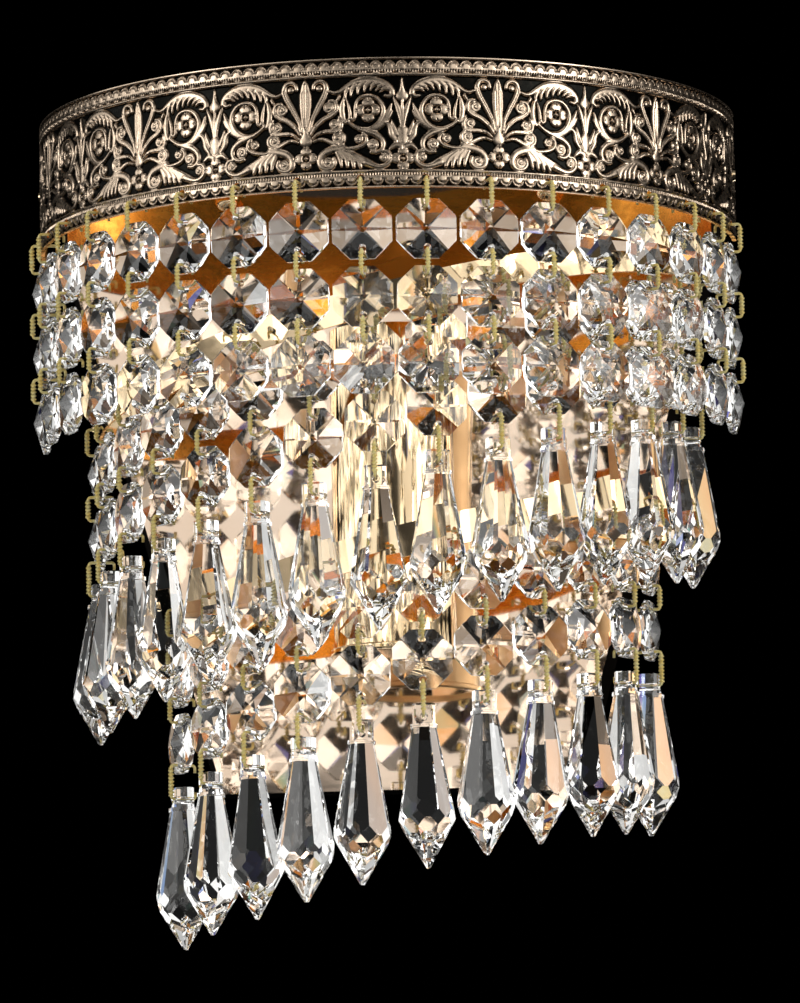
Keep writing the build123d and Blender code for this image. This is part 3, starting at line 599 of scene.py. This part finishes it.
def cut_veins(field):
    """Cuts along the palmette's petals."""
    for curve, half_w, depth in VEINS:
        field.groove(curve, half_w, depth)
    for curve, widths, eye, eye_r in SCROLLS[:PALMETTE_SCROLLS]:
        field.groove(curve[1:5], *STROKE_CUT)


def draw_borders(field):
    """Each border is a fillet, a row of teeth, a plain edge, and arches under a rim."""
    teeth = TOOTH_FOOT + TOOTH_RISE * np.clip(0.5 + np.cos(2 * math.pi * field.u / TOOTH_PITCH), 0, 1)
    for fillet, tooth_row, plain, rim, centre, way in BORDERS:
        field.across(*fillet, *FILLET_FORM)
        field.across(*rim, RIM_TOP)
        for k in ARCHES:
            u = (k + 0.5) * SCALLOP_PITCH + SCALLOP_SHIFT
            field.boss(u, centre, *ARCH_HALF, *ARCH_FORM)
            field.groove(arc(u, centre, ARCH_CUT_R, ARCH_ANGLES * way), *ARCH_CUT)
        field.across(*plain, EDGE_TOP)
        low, high = tooth_row
        field.h[(field.v >= low) & (field.v <= high)] = teeth


def draw_frieze():
    """One half unit of the frieze; each step draws over or cuts into the steps before it."""
    field = Field(HALF_UNIT, BANDS["top"][5])
    draw_strokes(field)
    draw_flowers(field)
    cut_veins(field)
    draw_borders(field)
    return field


FRIEZE = draw_frieze()


def frieze_height(s, v):
    """Relief at arc length s (from the band's middle) and height v."""
    radius = BANDS["top"][3]
    unit = math.radians(UNIT_ANGLE) * radius
    along = np.abs((s - math.radians(FIRST_PALMETTE) * radius + unit / 2) % unit - unit / 2)
    height = FRIEZE.at(along * HALF_UNIT / (unit / 2), v)
    end = math.pi * radius / 2 - RIVET_BACK
    away = np.hypot(np.abs(s) - end, v - BANDS["top"][5] / 2)
    return height * np.clip((away - RIVET_CLEAR) / RIVET_FADE, 0, 1)


# ==== bands
def ring_axes(band):
    """The middle of a band's lower edge, and unit vectors to the right, away from the wall and up."""
    x, z, tilt, radius, wall, height = BANDS[band]
    t = math.radians(tilt)
    side = np.array([math.cos(t), 0, math.sin(t)])
    up = np.array([-math.sin(t), 0, math.cos(t)])
    out = np.cross(side, up)
    return np.array([x, -PLATE_DEPTH, z]), side, out, up


def ring_points(band, radius, angle, v):
    """Points on a band, for arrays of radius, angle and height."""
    origin, side, out, up = ring_axes(band)
    radius = np.broadcast_to(radius, np.shape(angle))
    return (
        origin
        + (radius * np.sin(angle))[..., None] * side
        + (radius * np.cos(angle))[..., None] * out
        + np.asarray(v)[..., None] * up
    )


def string_holes(band):
    """Arc length and height of each string's hole on a band, from the frame's joints."""
    origin, side, out, up = ring_axes(band)
    radius = BANDS[band][3]
    holes = []
    for joint in frame["joints"]:
        if joint["child"].startswith(band):
            local = np.array(joint["pos_m"]) / MM + (0, 0, PIVOT_DROP) - origin
            holes.append((math.atan2(local @ side, local @ out) * radius, local @ up))
    return holes


def unit_length(vectors):
    """The same directions, each 1 long."""
    return vectors / np.maximum(np.linalg.norm(vectors, axis=2, keepdims=True), 1e-9)


def punched_grid(band, grid):
    """Places along and up a band, fitted to its holes' edges, and the cells that the holes take."""
    grid_s, grid_v = grid
    radius, height = BANDS[band][3], BANDS[band][5]
    columns = int(math.pi * radius / grid_s / 2) * 2 + 1
    rows = int(height / grid_v) + 1
    half_way = math.pi * radius / 2
    s, v = np.meshgrid(np.linspace(-half_way, half_way, columns), np.linspace(0, height, rows))
    inside = np.zeros(s.shape, bool)
    for hole_s, hole_v in string_holes(band):
        inside |= np.hypot(s - hole_s, v - hole_v) < HOLE_R
    open_cell = inside[:-1, :-1] | inside[1:, :-1] | inside[:-1, 1:] | inside[1:, 1:]
    rim = np.zeros(s.shape, bool)
    for row_part in (slice(-1), slice(1, None)):
        for column_part in (slice(-1), slice(1, None)):
            rim[row_part, column_part] |= open_cell
    rim &= ~inside
    for hole_s, hole_v in string_holes(band):
        away = np.hypot(s - hole_s, v - hole_v)
        snap = rim & (away < HOLE_R + 2 * max(grid_s, grid_v))
        ratio = np.where(snap, HOLE_R / np.maximum(away, 1e-6), 1.0)
        s, v = hole_s + (s - hole_s) * ratio, hole_v + (v - hole_v) * ratio
    return s, v, open_cell


def sheet_faces(keep):
    """Faces over the kept cells of a grid: the front, the back behind it, and walls round the edges."""
    rows, columns = keep.shape[0] + 1, keep.shape[1] + 1
    size = rows * columns
    grid = np.arange(size).reshape(rows, columns)
    front = np.stack([grid[:-1, :-1], grid[:-1, 1:], grid[1:, 1:], grid[1:, :-1]], -1)[keep]
    edges = np.concatenate([front[:, [i, (i + 1) % 4]] for i in range(4)])
    keys = edges[:, 0] * size + edges[:, 1]
    alone = ~np.isin(keys, edges[:, 1] * size + edges[:, 0])
    a, b = edges[alone].T
    walls = np.stack([b, a, a + size, b + size], -1)
    return front, np.concatenate([front, front[:, ::-1] + size, walls])


def dress_sheet(mesh, normals, front_count, heights, back_material):
    """Smooth front and back, the back's material, the relief attribute and every corner's normal."""
    smooth = np.zeros(len(normals), bool)
    smooth[: 2 * front_count] = True
    mesh.polygons.foreach_set("use_smooth", smooth)
    which = np.zeros(len(normals), int)
    which[front_count:] = back_material
    mesh.polygons.foreach_set("material_index", which)
    attribute = mesh.attributes.new("relief", "FLOAT", "POINT")
    attribute.data.foreach_set("value", heights.astype(np.float32))
    normals[2 * front_count:] = 0  # the walls keep their own
    mesh.normals_split_custom_set(normals.reshape(-1, 3).astype(np.float32))


def flat_pair(front, back):
    """Both sides' points as rows of three, front first."""
    return np.concatenate([front.reshape(-1, 3), back.reshape(-1, 3)])


def build_band(band, base_radius, relief, grid, materials, slot):
    """A band as closed stretches, with real holes, smooth normals and a relief attribute."""
    radius, wall = BANDS[band][3], BANDS[band][4]
    s, v, open_cell = punched_grid(band, grid)
    raised = relief(s, v)
    angle = s / radius
    outer = ring_points(band, base_radius + raised, angle, v)
    inner = ring_points(band, radius - wall, angle, v)
    out = unit_length(np.cross(np.gradient(outer, axis=1), np.gradient(outer, axis=0)))
    inward = unit_length(inner - ring_points(band, base_radius * 2, angle, v))
    columns = s.shape[1]
    stretches = max(1, round(columns / SEGMENT_COLUMNS)) if band == "top" else 1
    marks = np.linspace(0, columns - 1, stretches + 1).astype(int)
    for number, (first, last) in enumerate(zip(marks, marks[1:]), start=1):
        cut = slice(first, last + 1)
        front, faces = sheet_faces(~open_cell[:, first:last])
        points = flat_pair(outer[:, cut], inner[:, cut])
        normals = flat_pair(out[:, cut], inward[:, cut])
        heights = np.zeros(len(points))
        heights[: len(points) // 2] = raised[:, cut].ravel() / RELIEF_TOP
        used = np.unique(faces)
        place = np.zeros(len(points), int)
        place[used] = np.arange(len(used))
        name = f"{band}_band_metal" if stretches == 1 else f"{band}_band_relief_{number}"
        piece = add_piece(name, points[used], place[faces].tolist(), materials, FRAME_BODY, slot,
                          [f"{band}_band"])
        dress_sheet(piece.data, normals[faces], len(front), heights[used], len(materials) - 1)


def no_relief(s, v):
    """A plain band's relief."""
    return np.zeros(np.shape(s))


build_band("top", GROUND_R, frieze_height, TOP_GRID, [RELIEF, INNER_GOLD_PAINTED_BOUNCE], "antique_relief")
for plain in ("middle", "lower"):
    build_band(plain, BANDS[plain][3], no_relief, PLAIN_GRID, [GOLD, INNER_GOLD_PAINTED_BOUNCE], "gold_polish")


# ==== crystals
def convex_solid(planes, size):
    """The solid that is left of a cube after cutting along planes (point, outward normal)."""
    bm = bmesh.new()
    bmesh.ops.create_cube(bm, size=size)
    for point, normal in planes:
        everything = bm.verts[:] + bm.edges[:] + bm.faces[:]
        cut = bmesh.ops.bisect_plane(bm, geom=everything, plane_co=point, plane_no=normal,
                                     clear_outer=True)
        rim = [e for e in cut["geom_cut"] if isinstance(e, bmesh.types.BMEdge)]
        if rim:
            bmesh.ops.contextual_create(bm, geom=rim)
    bmesh.ops.recalc_face_normals(bm, faces=bm.faces)
    return bm


def tool_object(bm, name):
    """A bmesh as an object in the scene; the bmesh is freed."""
    mesh = bpy.data.meshes.new(name)
    bm.to_mesh(mesh)
    bm.free()
    return add_object(name, mesh)


def combine(base, steps):
    """Base solid with others joined to it or cut from it; gives points and faces."""
    body = tool_object(base, "combine_base")
    tools = []
    for operation, solid in steps:
        tool = tool_object(solid, "combine_tool")
        change = body.modifiers.new("change", "BOOLEAN")
        change.operation = operation
        change.solver = "EXACT"
        change.object = tool
        tools.append(tool)
    bpy.context.view_layer.update()
    result = body.evaluated_get(bpy.context.evaluated_depsgraph_get()).to_mesh()
    points = np.array([v.co for v in result.vertices])
    faces = [list(p.vertices) for p in result.polygons]
    for tool in [body, *tools]:
        bpy.data.objects.remove(tool)
    return points, faces


def pin(radius, length, middle):
    """A cylinder along Y."""
    bm = bmesh.new()
    turn = Matrix.Translation(middle) @ Matrix.Rotation(math.pi / 2, 4, "X")
    bmesh.ops.create_cone(bm, cap_ends=True, segments=HOLE_SIDES, radius1=radius, radius2=radius,
                          depth=length, matrix=turn)
    return bm


def octagon(turn=0.0):
    """Eight directions in a plane, the first at `turn` degrees."""
    angles = [math.radians(turn + 45 * k) for k in range(8)]
    return [(math.cos(a), math.sin(a)) for a in angles]


def between(low, high):
    """Planes that cut off what is below and above two heights."""
    return [((0, 0, high), (0, 0, 1)), ((0, 0, low), (0, 0, -1))]


def make_bead():
    """A flat octagon that rises to a point on both faces, with two holes; around its middle."""
    half, rise = BEAD_WIDTH / 2, (BEAD_THICKNESS - BEAD_GIRDLE) / 2
    corner = half / math.cos(math.pi / 8)
    planes = [((x * half, 0, z * half), (x, 0, z)) for x, z in octagon()]
    for x, z in octagon(HALF_FACET):
        for way in (-1, 1):
            normal = Vector((x * rise, way * corner, z * rise)).normalized()
            planes.append(((0, way * BEAD_THICKNESS / 2, 0), normal))
    holes = [("DIFFERENCE", pin(BEAD_HOLE_R, HOLE_CUT, (0, 0, way * BEAD_HOLE_UP))) for way in (-1, 1)]
    return combine(convex_solid(planes, BEAD_BLOCK), holes)


def facet_ring(at_z, half, slope, turn):
    """Planes of eight facets that pass `half` at height at_z and grow by slope upward."""
    planes = []
    for x, y in octagon(turn):
        normal = Vector((x, y, -slope)).normalized()
        planes.append(((x * half, y * half, at_z), normal))
    return planes


def make_neck():
    """The pendant's neck: a box with cut corners, from its top at height 0 down."""
    corner = (NECK_W + NECK_D) / 2 - NECK_CHAMFER
    planes = between(-NECK_H - NECK_LAP, 0)
    for x, y in octagon():
        if min(abs(x), abs(y)) < 0.1:
            place = (round(x) * NECK_W / 2, round(y) * NECK_D / 2, 0)
        else:
            place = (math.copysign(corner, x) / 2, math.copysign(corner, y) / 2, 0)
        planes.append((place, (x, y, 0)))
    return convex_solid(planes, PENDANT_LENGTH)


def make_pendant():
    """A faceted drop under a collar and a pierced neck, from its top at height 0 down."""
    shoulder, body_top = -PENDANT_LENGTH + SHOULDER_UP, -NECK_H - COLLAR_H
    body_slope = (PENDANT_WIDTH - BODY_TOP_W) / 2 / (body_top - shoulder)
    tip_slope = (PENDANT_WIDTH - TIP_W) / 2 / SHOULDER_UP
    body = convex_solid(
        facet_ring(shoulder, PENDANT_WIDTH / 2, -body_slope, 0)
        + facet_ring(-PENDANT_LENGTH, TIP_W / 2, tip_slope, 0)
        + facet_ring(shoulder, PENDANT_WIDTH / 2 - SHOULDER_TRIM, SHOULDER_SLOPE, HALF_FACET)
        + between(-PENDANT_LENGTH, body_top),
        PENDANT_BLOCK,
    )
    collar_ends = between(body_top - COLLAR_LAP_DOWN, -NECK_H + COLLAR_LAP_UP)
    collar = convex_solid(facet_ring(0, COLLAR_W / 2, 0, 0) + collar_ends, PENDANT_LENGTH)
    hole = pin(PENDANT_HOLE_R, HOLE_CUT, (0, 0, -PENDANT_HOLE_IN))
    return combine(body, [("UNION", collar), ("UNION", make_neck()), ("DIFFERENCE", hole)])


def rounded_path(corners, radius, steps=6):
    """Points along straight runs joined by arcs; the corners turn square."""
    pts = [np.array(c, float) for c in corners]
    path = [pts[0]]
    for before, corner, after in zip(pts, pts[1:], pts[2:]):
        a = (before - corner) / np.linalg.norm(before - corner)
        b = (after - corner) / np.linalg.norm(after - corner)
        r = min(radius, np.linalg.norm(before - corner), np.linalg.norm(after - corner))
        centre = corner + (a + b) * r
        for t in np.linspace(0, math.pi / 2, steps + 1):
            path.append(centre - b * r * math.cos(t) - a * r * math.sin(t))
    path.append(pts[-1])
    return np.array(path)


def loft_rings(rings):
    """Closed mesh over rings of points, capped at both ends."""
    count, sides = len(rings), len(rings[0])
    faces = [list(range(sides))[::-1], list(range((count - 1) * sides, count * sides))]
    for i in range(count - 1):
        for j in range(sides):
            k = (j + 1) % sides
            faces.append([i * sides + j, i * sides + k, (i + 1) * sides + k, (i + 1) * sides + j])
    return np.concatenate(rings), faces


def round_arms(path):
    """A round wire along a path in the YZ plane."""
    ahead = np.gradient(path, axis=0)
    ahead /= np.linalg.norm(ahead, axis=1, keepdims=True)
    rings = []
    for (y, z), (ty, tz) in zip(path, ahead):
        across = WIRE_R * np.cos(WIRE_ANGLES)
        over = WIRE_R * np.sin(WIRE_ANGLES)
        rings.append(np.stack([across, y - tz * over, z + ty * over], 1))
    return loft_rings(rings)


def twisted_leg(length):
    """A flat twisted leg in front, from just under the upper arm down."""
    steps = int(length / LEG_STEP)
    rings = []
    for step in range(steps + 1):
        z = -CLIP_BEND_R - length * step / steps
        turn = 2 * math.pi * z / LEG_TWIST
        a = LEG_HALF_W * np.cos(WIRE_ANGLES)
        b = LEG_HALF_T * np.sin(WIRE_ANGLES)
        x, y = a * math.cos(turn) - b * math.sin(turn), a * math.sin(turn) + b * math.cos(turn)
        rings.append(np.stack([x, y - CLIP_OUT, np.full_like(x, z)], 1))
    return loft_rings(rings[::-1])


def make_clip(span):
    """C-shaped clip: round arms `span` apart with turned ends, and a twisted leg in front."""
    curl = min(CLIP_CURL, span / 2 - 2 * WIRE_R)
    corners = [(CLIP_IN, -curl), (CLIP_IN, 0), (-CLIP_OUT, 0), (-CLIP_OUT, -span), (CLIP_IN, -span),
               (CLIP_IN, -span + curl)]
    return [round_arms(rounded_path(corners, CLIP_BEND_R)), twisted_leg(span - 2 * CLIP_BEND_R)]


BEAD = make_bead()
PENDANT = make_pendant()
TOP_SPAN = TOP_LINK_GAP - PIVOT_DROP - BEAD_HANG
PLAIN_SPAN = PLAIN_LINK_GAP - PIVOT_DROP - BEAD_HANG
LINK_SPAN = LINK_GAP - 2 * BEAD_HANG
DROP_SPAN = DROP_LINK_GAP - BEAD_HANG - PENDANT_HANG
TOP_CLIP, PLAIN_CLIP, LINK_CLIP, DROP_CLIP = [
    make_clip(span) for span in (TOP_SPAN, PLAIN_SPAN, LINK_SPAN, DROP_SPAN)
]


def string_layout(first_clip, first_span, beads, with_pendant):
    """Glass and clips of one string, as lists of (solids, height from the pivot)."""
    glass, clips = [], [(first_clip, 0.0)]
    z = -first_span
    for i in range(beads):
        middle = z - BEAD_HANG - BEAD_HOLE_UP
        glass.append(([BEAD], middle))
        z = middle - BEAD_HOLE_UP - BEAD_HANG
        if i < beads - 1:
            clips.append((LINK_CLIP, z))
            z -= LINK_SPAN
    if with_pendant:
        clips.append((DROP_CLIP, z))
        glass.append(([PENDANT], z - DROP_SPAN - PENDANT_HANG + PENDANT_HOLE_IN))
    return glass, clips


PLAIN_LAYOUT = string_layout(PLAIN_CLIP, PLAIN_SPAN, beads=2, with_pendant=True)
LAYOUTS = {
    "top": string_layout(TOP_CLIP, TOP_SPAN, beads=3, with_pendant=False),
    "middle": PLAIN_LAYOUT,
    "lower": PLAIN_LAYOUT,
}


def jitter(turn_deg, lean_deg):
    """A small turn about the upright axis and a smaller lean."""
    turn = Matrix.Rotation(math.radians(rng.uniform(-turn_deg, turn_deg)), 3, "Z")
    lean = Matrix.Rotation(math.radians(rng.uniform(-lean_deg, lean_deg)), 3, "X")
    spin = Matrix.Rotation(math.radians(rng.uniform(-lean_deg, lean_deg)), 3, "Y")
    return np.array(turn @ lean @ spin)


def hang(items, turn_deg, lean_deg, place, pivot):
    """Solids of a string at their heights, each turned a little, as points and faces."""
    all_points, all_faces, start = [], [], 0
    for solids, z in items:
        tilt = jitter(turn_deg, lean_deg)
        for points, faces in solids:
            local = points @ tilt.T + (0, BALANCE, z)
            all_points.append(local @ place.T + pivot)
            all_faces += [[i + start for i in face] for face in faces]
            start += len(points)
    return np.concatenate(all_points), all_faces


def build_string(joint):
    """A string's glass and clips, hung at its joint and turned to face out from the band."""
    node, axis = joint["child"], joint["axis"]
    place = np.array(Matrix.Rotation(math.atan2(-axis[1], -axis[0]), 3, "Z"))
    pivot = np.array(joint["pos_m"]) / MM
    glass, clips = LAYOUTS[node.split("_")[0]]
    glass_mesh = hang(glass, TURN_DEG, LEAN_DEG, place, pivot)
    clip_mesh = hang(clips, TURN_DEG / 2, 0, place, pivot)
    add_piece(f"{node}_glass", *glass_mesh, [CRYSTAL], node, "crystal", [node])
    add_piece(f"{node}_clips", *clip_mesh, [WIRE_GOLD], node, "gold_polish", [node], smooth=True)


for joint in frame["joints"]:
    build_string(joint)


# ==== camera, light
def seen_from(azimuth, elevation):
    """The direction from the sconce, for degrees to the right of its front and upward."""
    az, el = math.radians(azimuth), math.radians(elevation)
    return Vector((math.sin(az) * math.cos(el), -math.cos(az) * math.cos(el), math.sin(el)))


def camera_axes():
    """The camera's right, its up, and the direction from the target back to it."""
    az, roll = math.radians(CAMERA_AZIMUTH), math.radians(CAMERA_ROLL)
    back = seen_from(CAMERA_AZIMUTH, CAMERA_ELEVATION)
    right = Vector((math.cos(az), math.sin(az), 0))
    up = back.cross(right)
    x = math.cos(roll) * right + math.sin(roll) * up
    y = -math.sin(roll) * right + math.cos(roll) * up
    return x, y, back


camera_data = bpy.data.cameras.new("camera")
camera_data.sensor_width = SENSOR
camera_data.lens = FOCAL_PX * SENSOR / PHOTO_LONG_SIDE_PX
camera_data.clip_end = CAMERA_REACH
camera = add_object("camera", camera_data)
bpy.context.scene.camera = camera
cam_x, cam_y, cam_back = camera_axes()
camera.matrix_world = Matrix.Translation(Vector(CAMERA_TARGET) + cam_back * CAMERA_DISTANCE) @ Matrix(
    (cam_x, cam_y, cam_back)
).transposed().to_4x4()


def softbox(name, azimuth, elevation, distance, size, power, colour, seen_through):
    """An area light that looks at the sconce."""
    away = seen_from(azimuth, elevation)
    data = bpy.data.lights.new(name, "AREA")
    data.shape = "RECTANGLE"
    data.size, data.size_y = size
    data.energy = power
    data.color = colour
    light = add_object(name, data)
    light.location = Vector(CAMERA_TARGET) + away * distance
    light.rotation_mode = "QUATERNION"
    light.rotation_quaternion = away.to_track_quat("Z", "Y")
    light.visible_camera = False
    light.visible_transmission = seen_through


DAYLIGHT, LAMPLIGHT = (1.0, 0.99, 0.97), (1.0, 0.98, 0.95)
# Azimuth, elevation, distance and size in metres, watts, colour, seen through the crystals
SOFTBOXES = {
    "back_low": (180, -36, 1.1, (0.9, 0.5), 6, DAYLIGHT, False),
    "top_fill": (-15, 72, 1.6, (0.6, 0.6), 1.2, DAYLIGHT, False),
    "strip_left": (-93, 10, 1.5, (0.3, 0.7), 0.4, DAYLIGHT, True),
    "key_left": (-58, 14, 1.7, (0.6, 0.8), 3, LAMPLIGHT, True),
    "key_right": (60, 10, 1.7, (0.6, 0.9), 5.5, LAMPLIGHT, True),
    "front_low": (-4.5, 8.3, 1.5, (0.28, 0.28), 0.22, LAMPLIGHT, True),
}
for light_name, settings in SOFTBOXES.items():
    softbox(light_name, *settings)

# The room around the sconce: degrees from the front, to the right, and how bright it is there.
ROOM = [
    (-180, 0.004), (-112, 0.006), (-105, 0.05), (-97, 0.75), (-84, 0.75), (-76, 0.4), (-56, 0.75),
    (-25, 0.9), (-18, 0.08), (-4, 0.02), (13, 0.08), (21, 0.9), (46, 1.1), (72, 0.8), (84, 0.3),
    (96, 0.04), (110, 0.006), (180, 0.004),
]
# What is seen through the crystals: dark behind, lit from both sides.
THROUGH = [
    (-180, 0.01), (-163, 0.02), (-155, 0.04), (-147, 0.4), (-139, 1.15), (-122, 1.05), (-104, 1.65),
    (-50, 1.75), (-23, 1.4), (-18, 0.04), (-4, 0.015), (12, 0.04), (17, 1.4), (50, 1.75), (100, 1.65),
    (120, 1.05), (136, 1.15), (145, 0.4), (153, 0.04), (180, 0.01),
]
ROOM_TINT = (1.0, 0.98, 0.94)
THROUGH_TINT = (1.0, 1.0, 0.985)
# Edges of the lit sides, split into colours as the crystals split them
SPECTRUM = [(0.22, 0.22, 0.75), (0.4, 0.75, 0.45), (1.1, 0.55, 0.2)]
SPECTRUM_EDGES = [(-152.5, 1.3), (149.5, -1.3), (-19.0, -1.3), (13.0, 1.3)]  # start and step
# Fades by a direction's height (its sine): from and to, and the brightness at both
ROOM_TOP, ROOM_FOOT = (0.25, 0.6, 1.0, 0.12), (-0.2, 0.16, 0.02, 1.0)
THROUGH_TOP, THROUGH_FOOT = (0.45, 0.9, 1.0, 0.35), (-0.7, -0.05, 0.08, 1.1)
# High up towards the wall the crystals show the dark: a fade by height, and one towards the wall
WALL_UP, WALL_BACK = (0.4, 0.62, 0.0, 0.94), (0.45, 0.7, 0.0, 1.0)
EVEN_LIGHT, EVEN_STRENGTH = (1.0, 0.99, 0.97, 1.0), 0.7


def fades(tree, *rows):
    """The product of two smooth fades; a row is a source and the fade's four numbers."""
    return maths(tree, "MULTIPLY", *[remap(tree, *row, "SMOOTHSTEP") for row in rows])


def background(tree, colour, strength):
    """A background shader from a colour socket and a strength socket."""
    node = add_node(tree, "ShaderNodeBackground")
    tree.links.new(colour, node.inputs["Color"])
    tree.links.new(strength, node.inputs["Strength"])
    return node.outputs["Background"]


def choose(tree, by, first, second):
    """The second shader where `by` is 1, else the first."""
    node = add_node(tree, "ShaderNodeMixShader")
    tree.links.new(by, node.inputs["Fac"])
    tree.links.new(first, node.inputs[1])
    tree.links.new(second, node.inputs[2])
    return node.outputs["Shader"]


def around(tree, turn, stops):
    """Colours by direction, from (degrees, colour) stops."""
    return ramp(tree, turn, [(angle / 360 + 0.5, colour) for angle, colour in sorted(stops)])


def tinted(stops, tint):
    """(degrees, brightness) stops as (degrees, colour) stops."""
    return [(angle, tuple(value * part for part in tint)) for angle, value in stops]


def build_world():
    """What mirrors see, what is seen through glass, even light for scattering, a black backdrop."""
    world = bpy.data.worlds.new("studio")
    bpy.context.scene.world = world
    world.use_nodes = True
    tree = world.node_tree
    tree.nodes.clear()
    place = add_node(tree, "ShaderNodeTexCoord")
    split = add_node(tree, "ShaderNodeSeparateXYZ")
    tree.links.new(place.outputs["Generated"], split.inputs["Vector"])
    up, back = split.outputs["Z"], split.outputs["Y"]
    heading = maths(tree, "ARCTAN2", split.outputs["X"], maths(tree, "MULTIPLY", back, -1.0))
    turn = maths(tree, "MULTIPLY_ADD", heading, 0.5 / math.pi, 0.5)
    room_height = fades(tree, (up, *ROOM_TOP), (up, *ROOM_FOOT))
    room = background(tree, around(tree, turn, tinted(ROOM, ROOM_TINT)), room_height)
    over_wall = fades(tree, (up, *WALL_UP), (back, *WALL_BACK))
    through_height = fades(tree, (up, *THROUGH_TOP), (up, *THROUGH_FOOT))
    through_height = maths(tree, "MULTIPLY", through_height, maths(tree, "SUBTRACT", 1.0, over_wall))
    through_stops = tinted(THROUGH, THROUGH_TINT)
    for start, step in SPECTRUM_EDGES:
        through_stops += [(start + i * step, colour) for i, colour in enumerate(SPECTRUM)]
    through = background(tree, around(tree, turn, through_stops), through_height)
    even = add_node(tree, "ShaderNodeBackground", Color=EVEN_LIGHT, Strength=EVEN_STRENGTH)
    black = add_node(tree, "ShaderNodeBackground", Color=(0, 0, 0, 1), Strength=0.0)
    paths = add_node(tree, "ShaderNodeLightPath")
    seen = choose(tree, paths.outputs["Is Transmission Ray"], room, through)
    lit = choose(tree, paths.outputs["Is Diffuse Ray"], seen, even.outputs["Background"])
    final = choose(tree, paths.outputs["Is Camera Ray"], lit, black.outputs["Background"])
    output = add_node(tree, "ShaderNodeOutputWorld")
    tree.links.new(final, output.inputs["Surface"])


build_world()

# In metres
FLOOR_HALF = 8.0
FLOOR_Z = -0.95
FLOOR_LOOKS = {"Base Color": (0.8, 0.79, 0.77, 1), "Roughness": 0.8}


def build_floor():
    """A plain pale floor, well below the sconce and below the camera."""
    mesh = bpy.data.meshes.new("floor")
    half, z = FLOOR_HALF, FLOOR_Z
    corners = [(-half, -half, z), (half, -half, z), (half, half, z), (-half, half, z)]
    mesh.from_pydata(corners, [], [(0, 1, 2, 3)])
    mesh.materials.append(new_material("pale_floor", FLOOR_LOOKS)[0])
    floor = add_object("floor", mesh)
    floor.visible_transmission = False
    floor.visible_glossy = False


build_floor()

scene = bpy.context.scene
scene.view_settings.view_transform = "Standard"
scene.cycles.max_bounces = 24
scene.cycles.transmission_bounces = 24
scene.cycles.glossy_bounces = 12
scene.cycles.caustics_reflective = False
scene.cycles.caustics_refractive = False
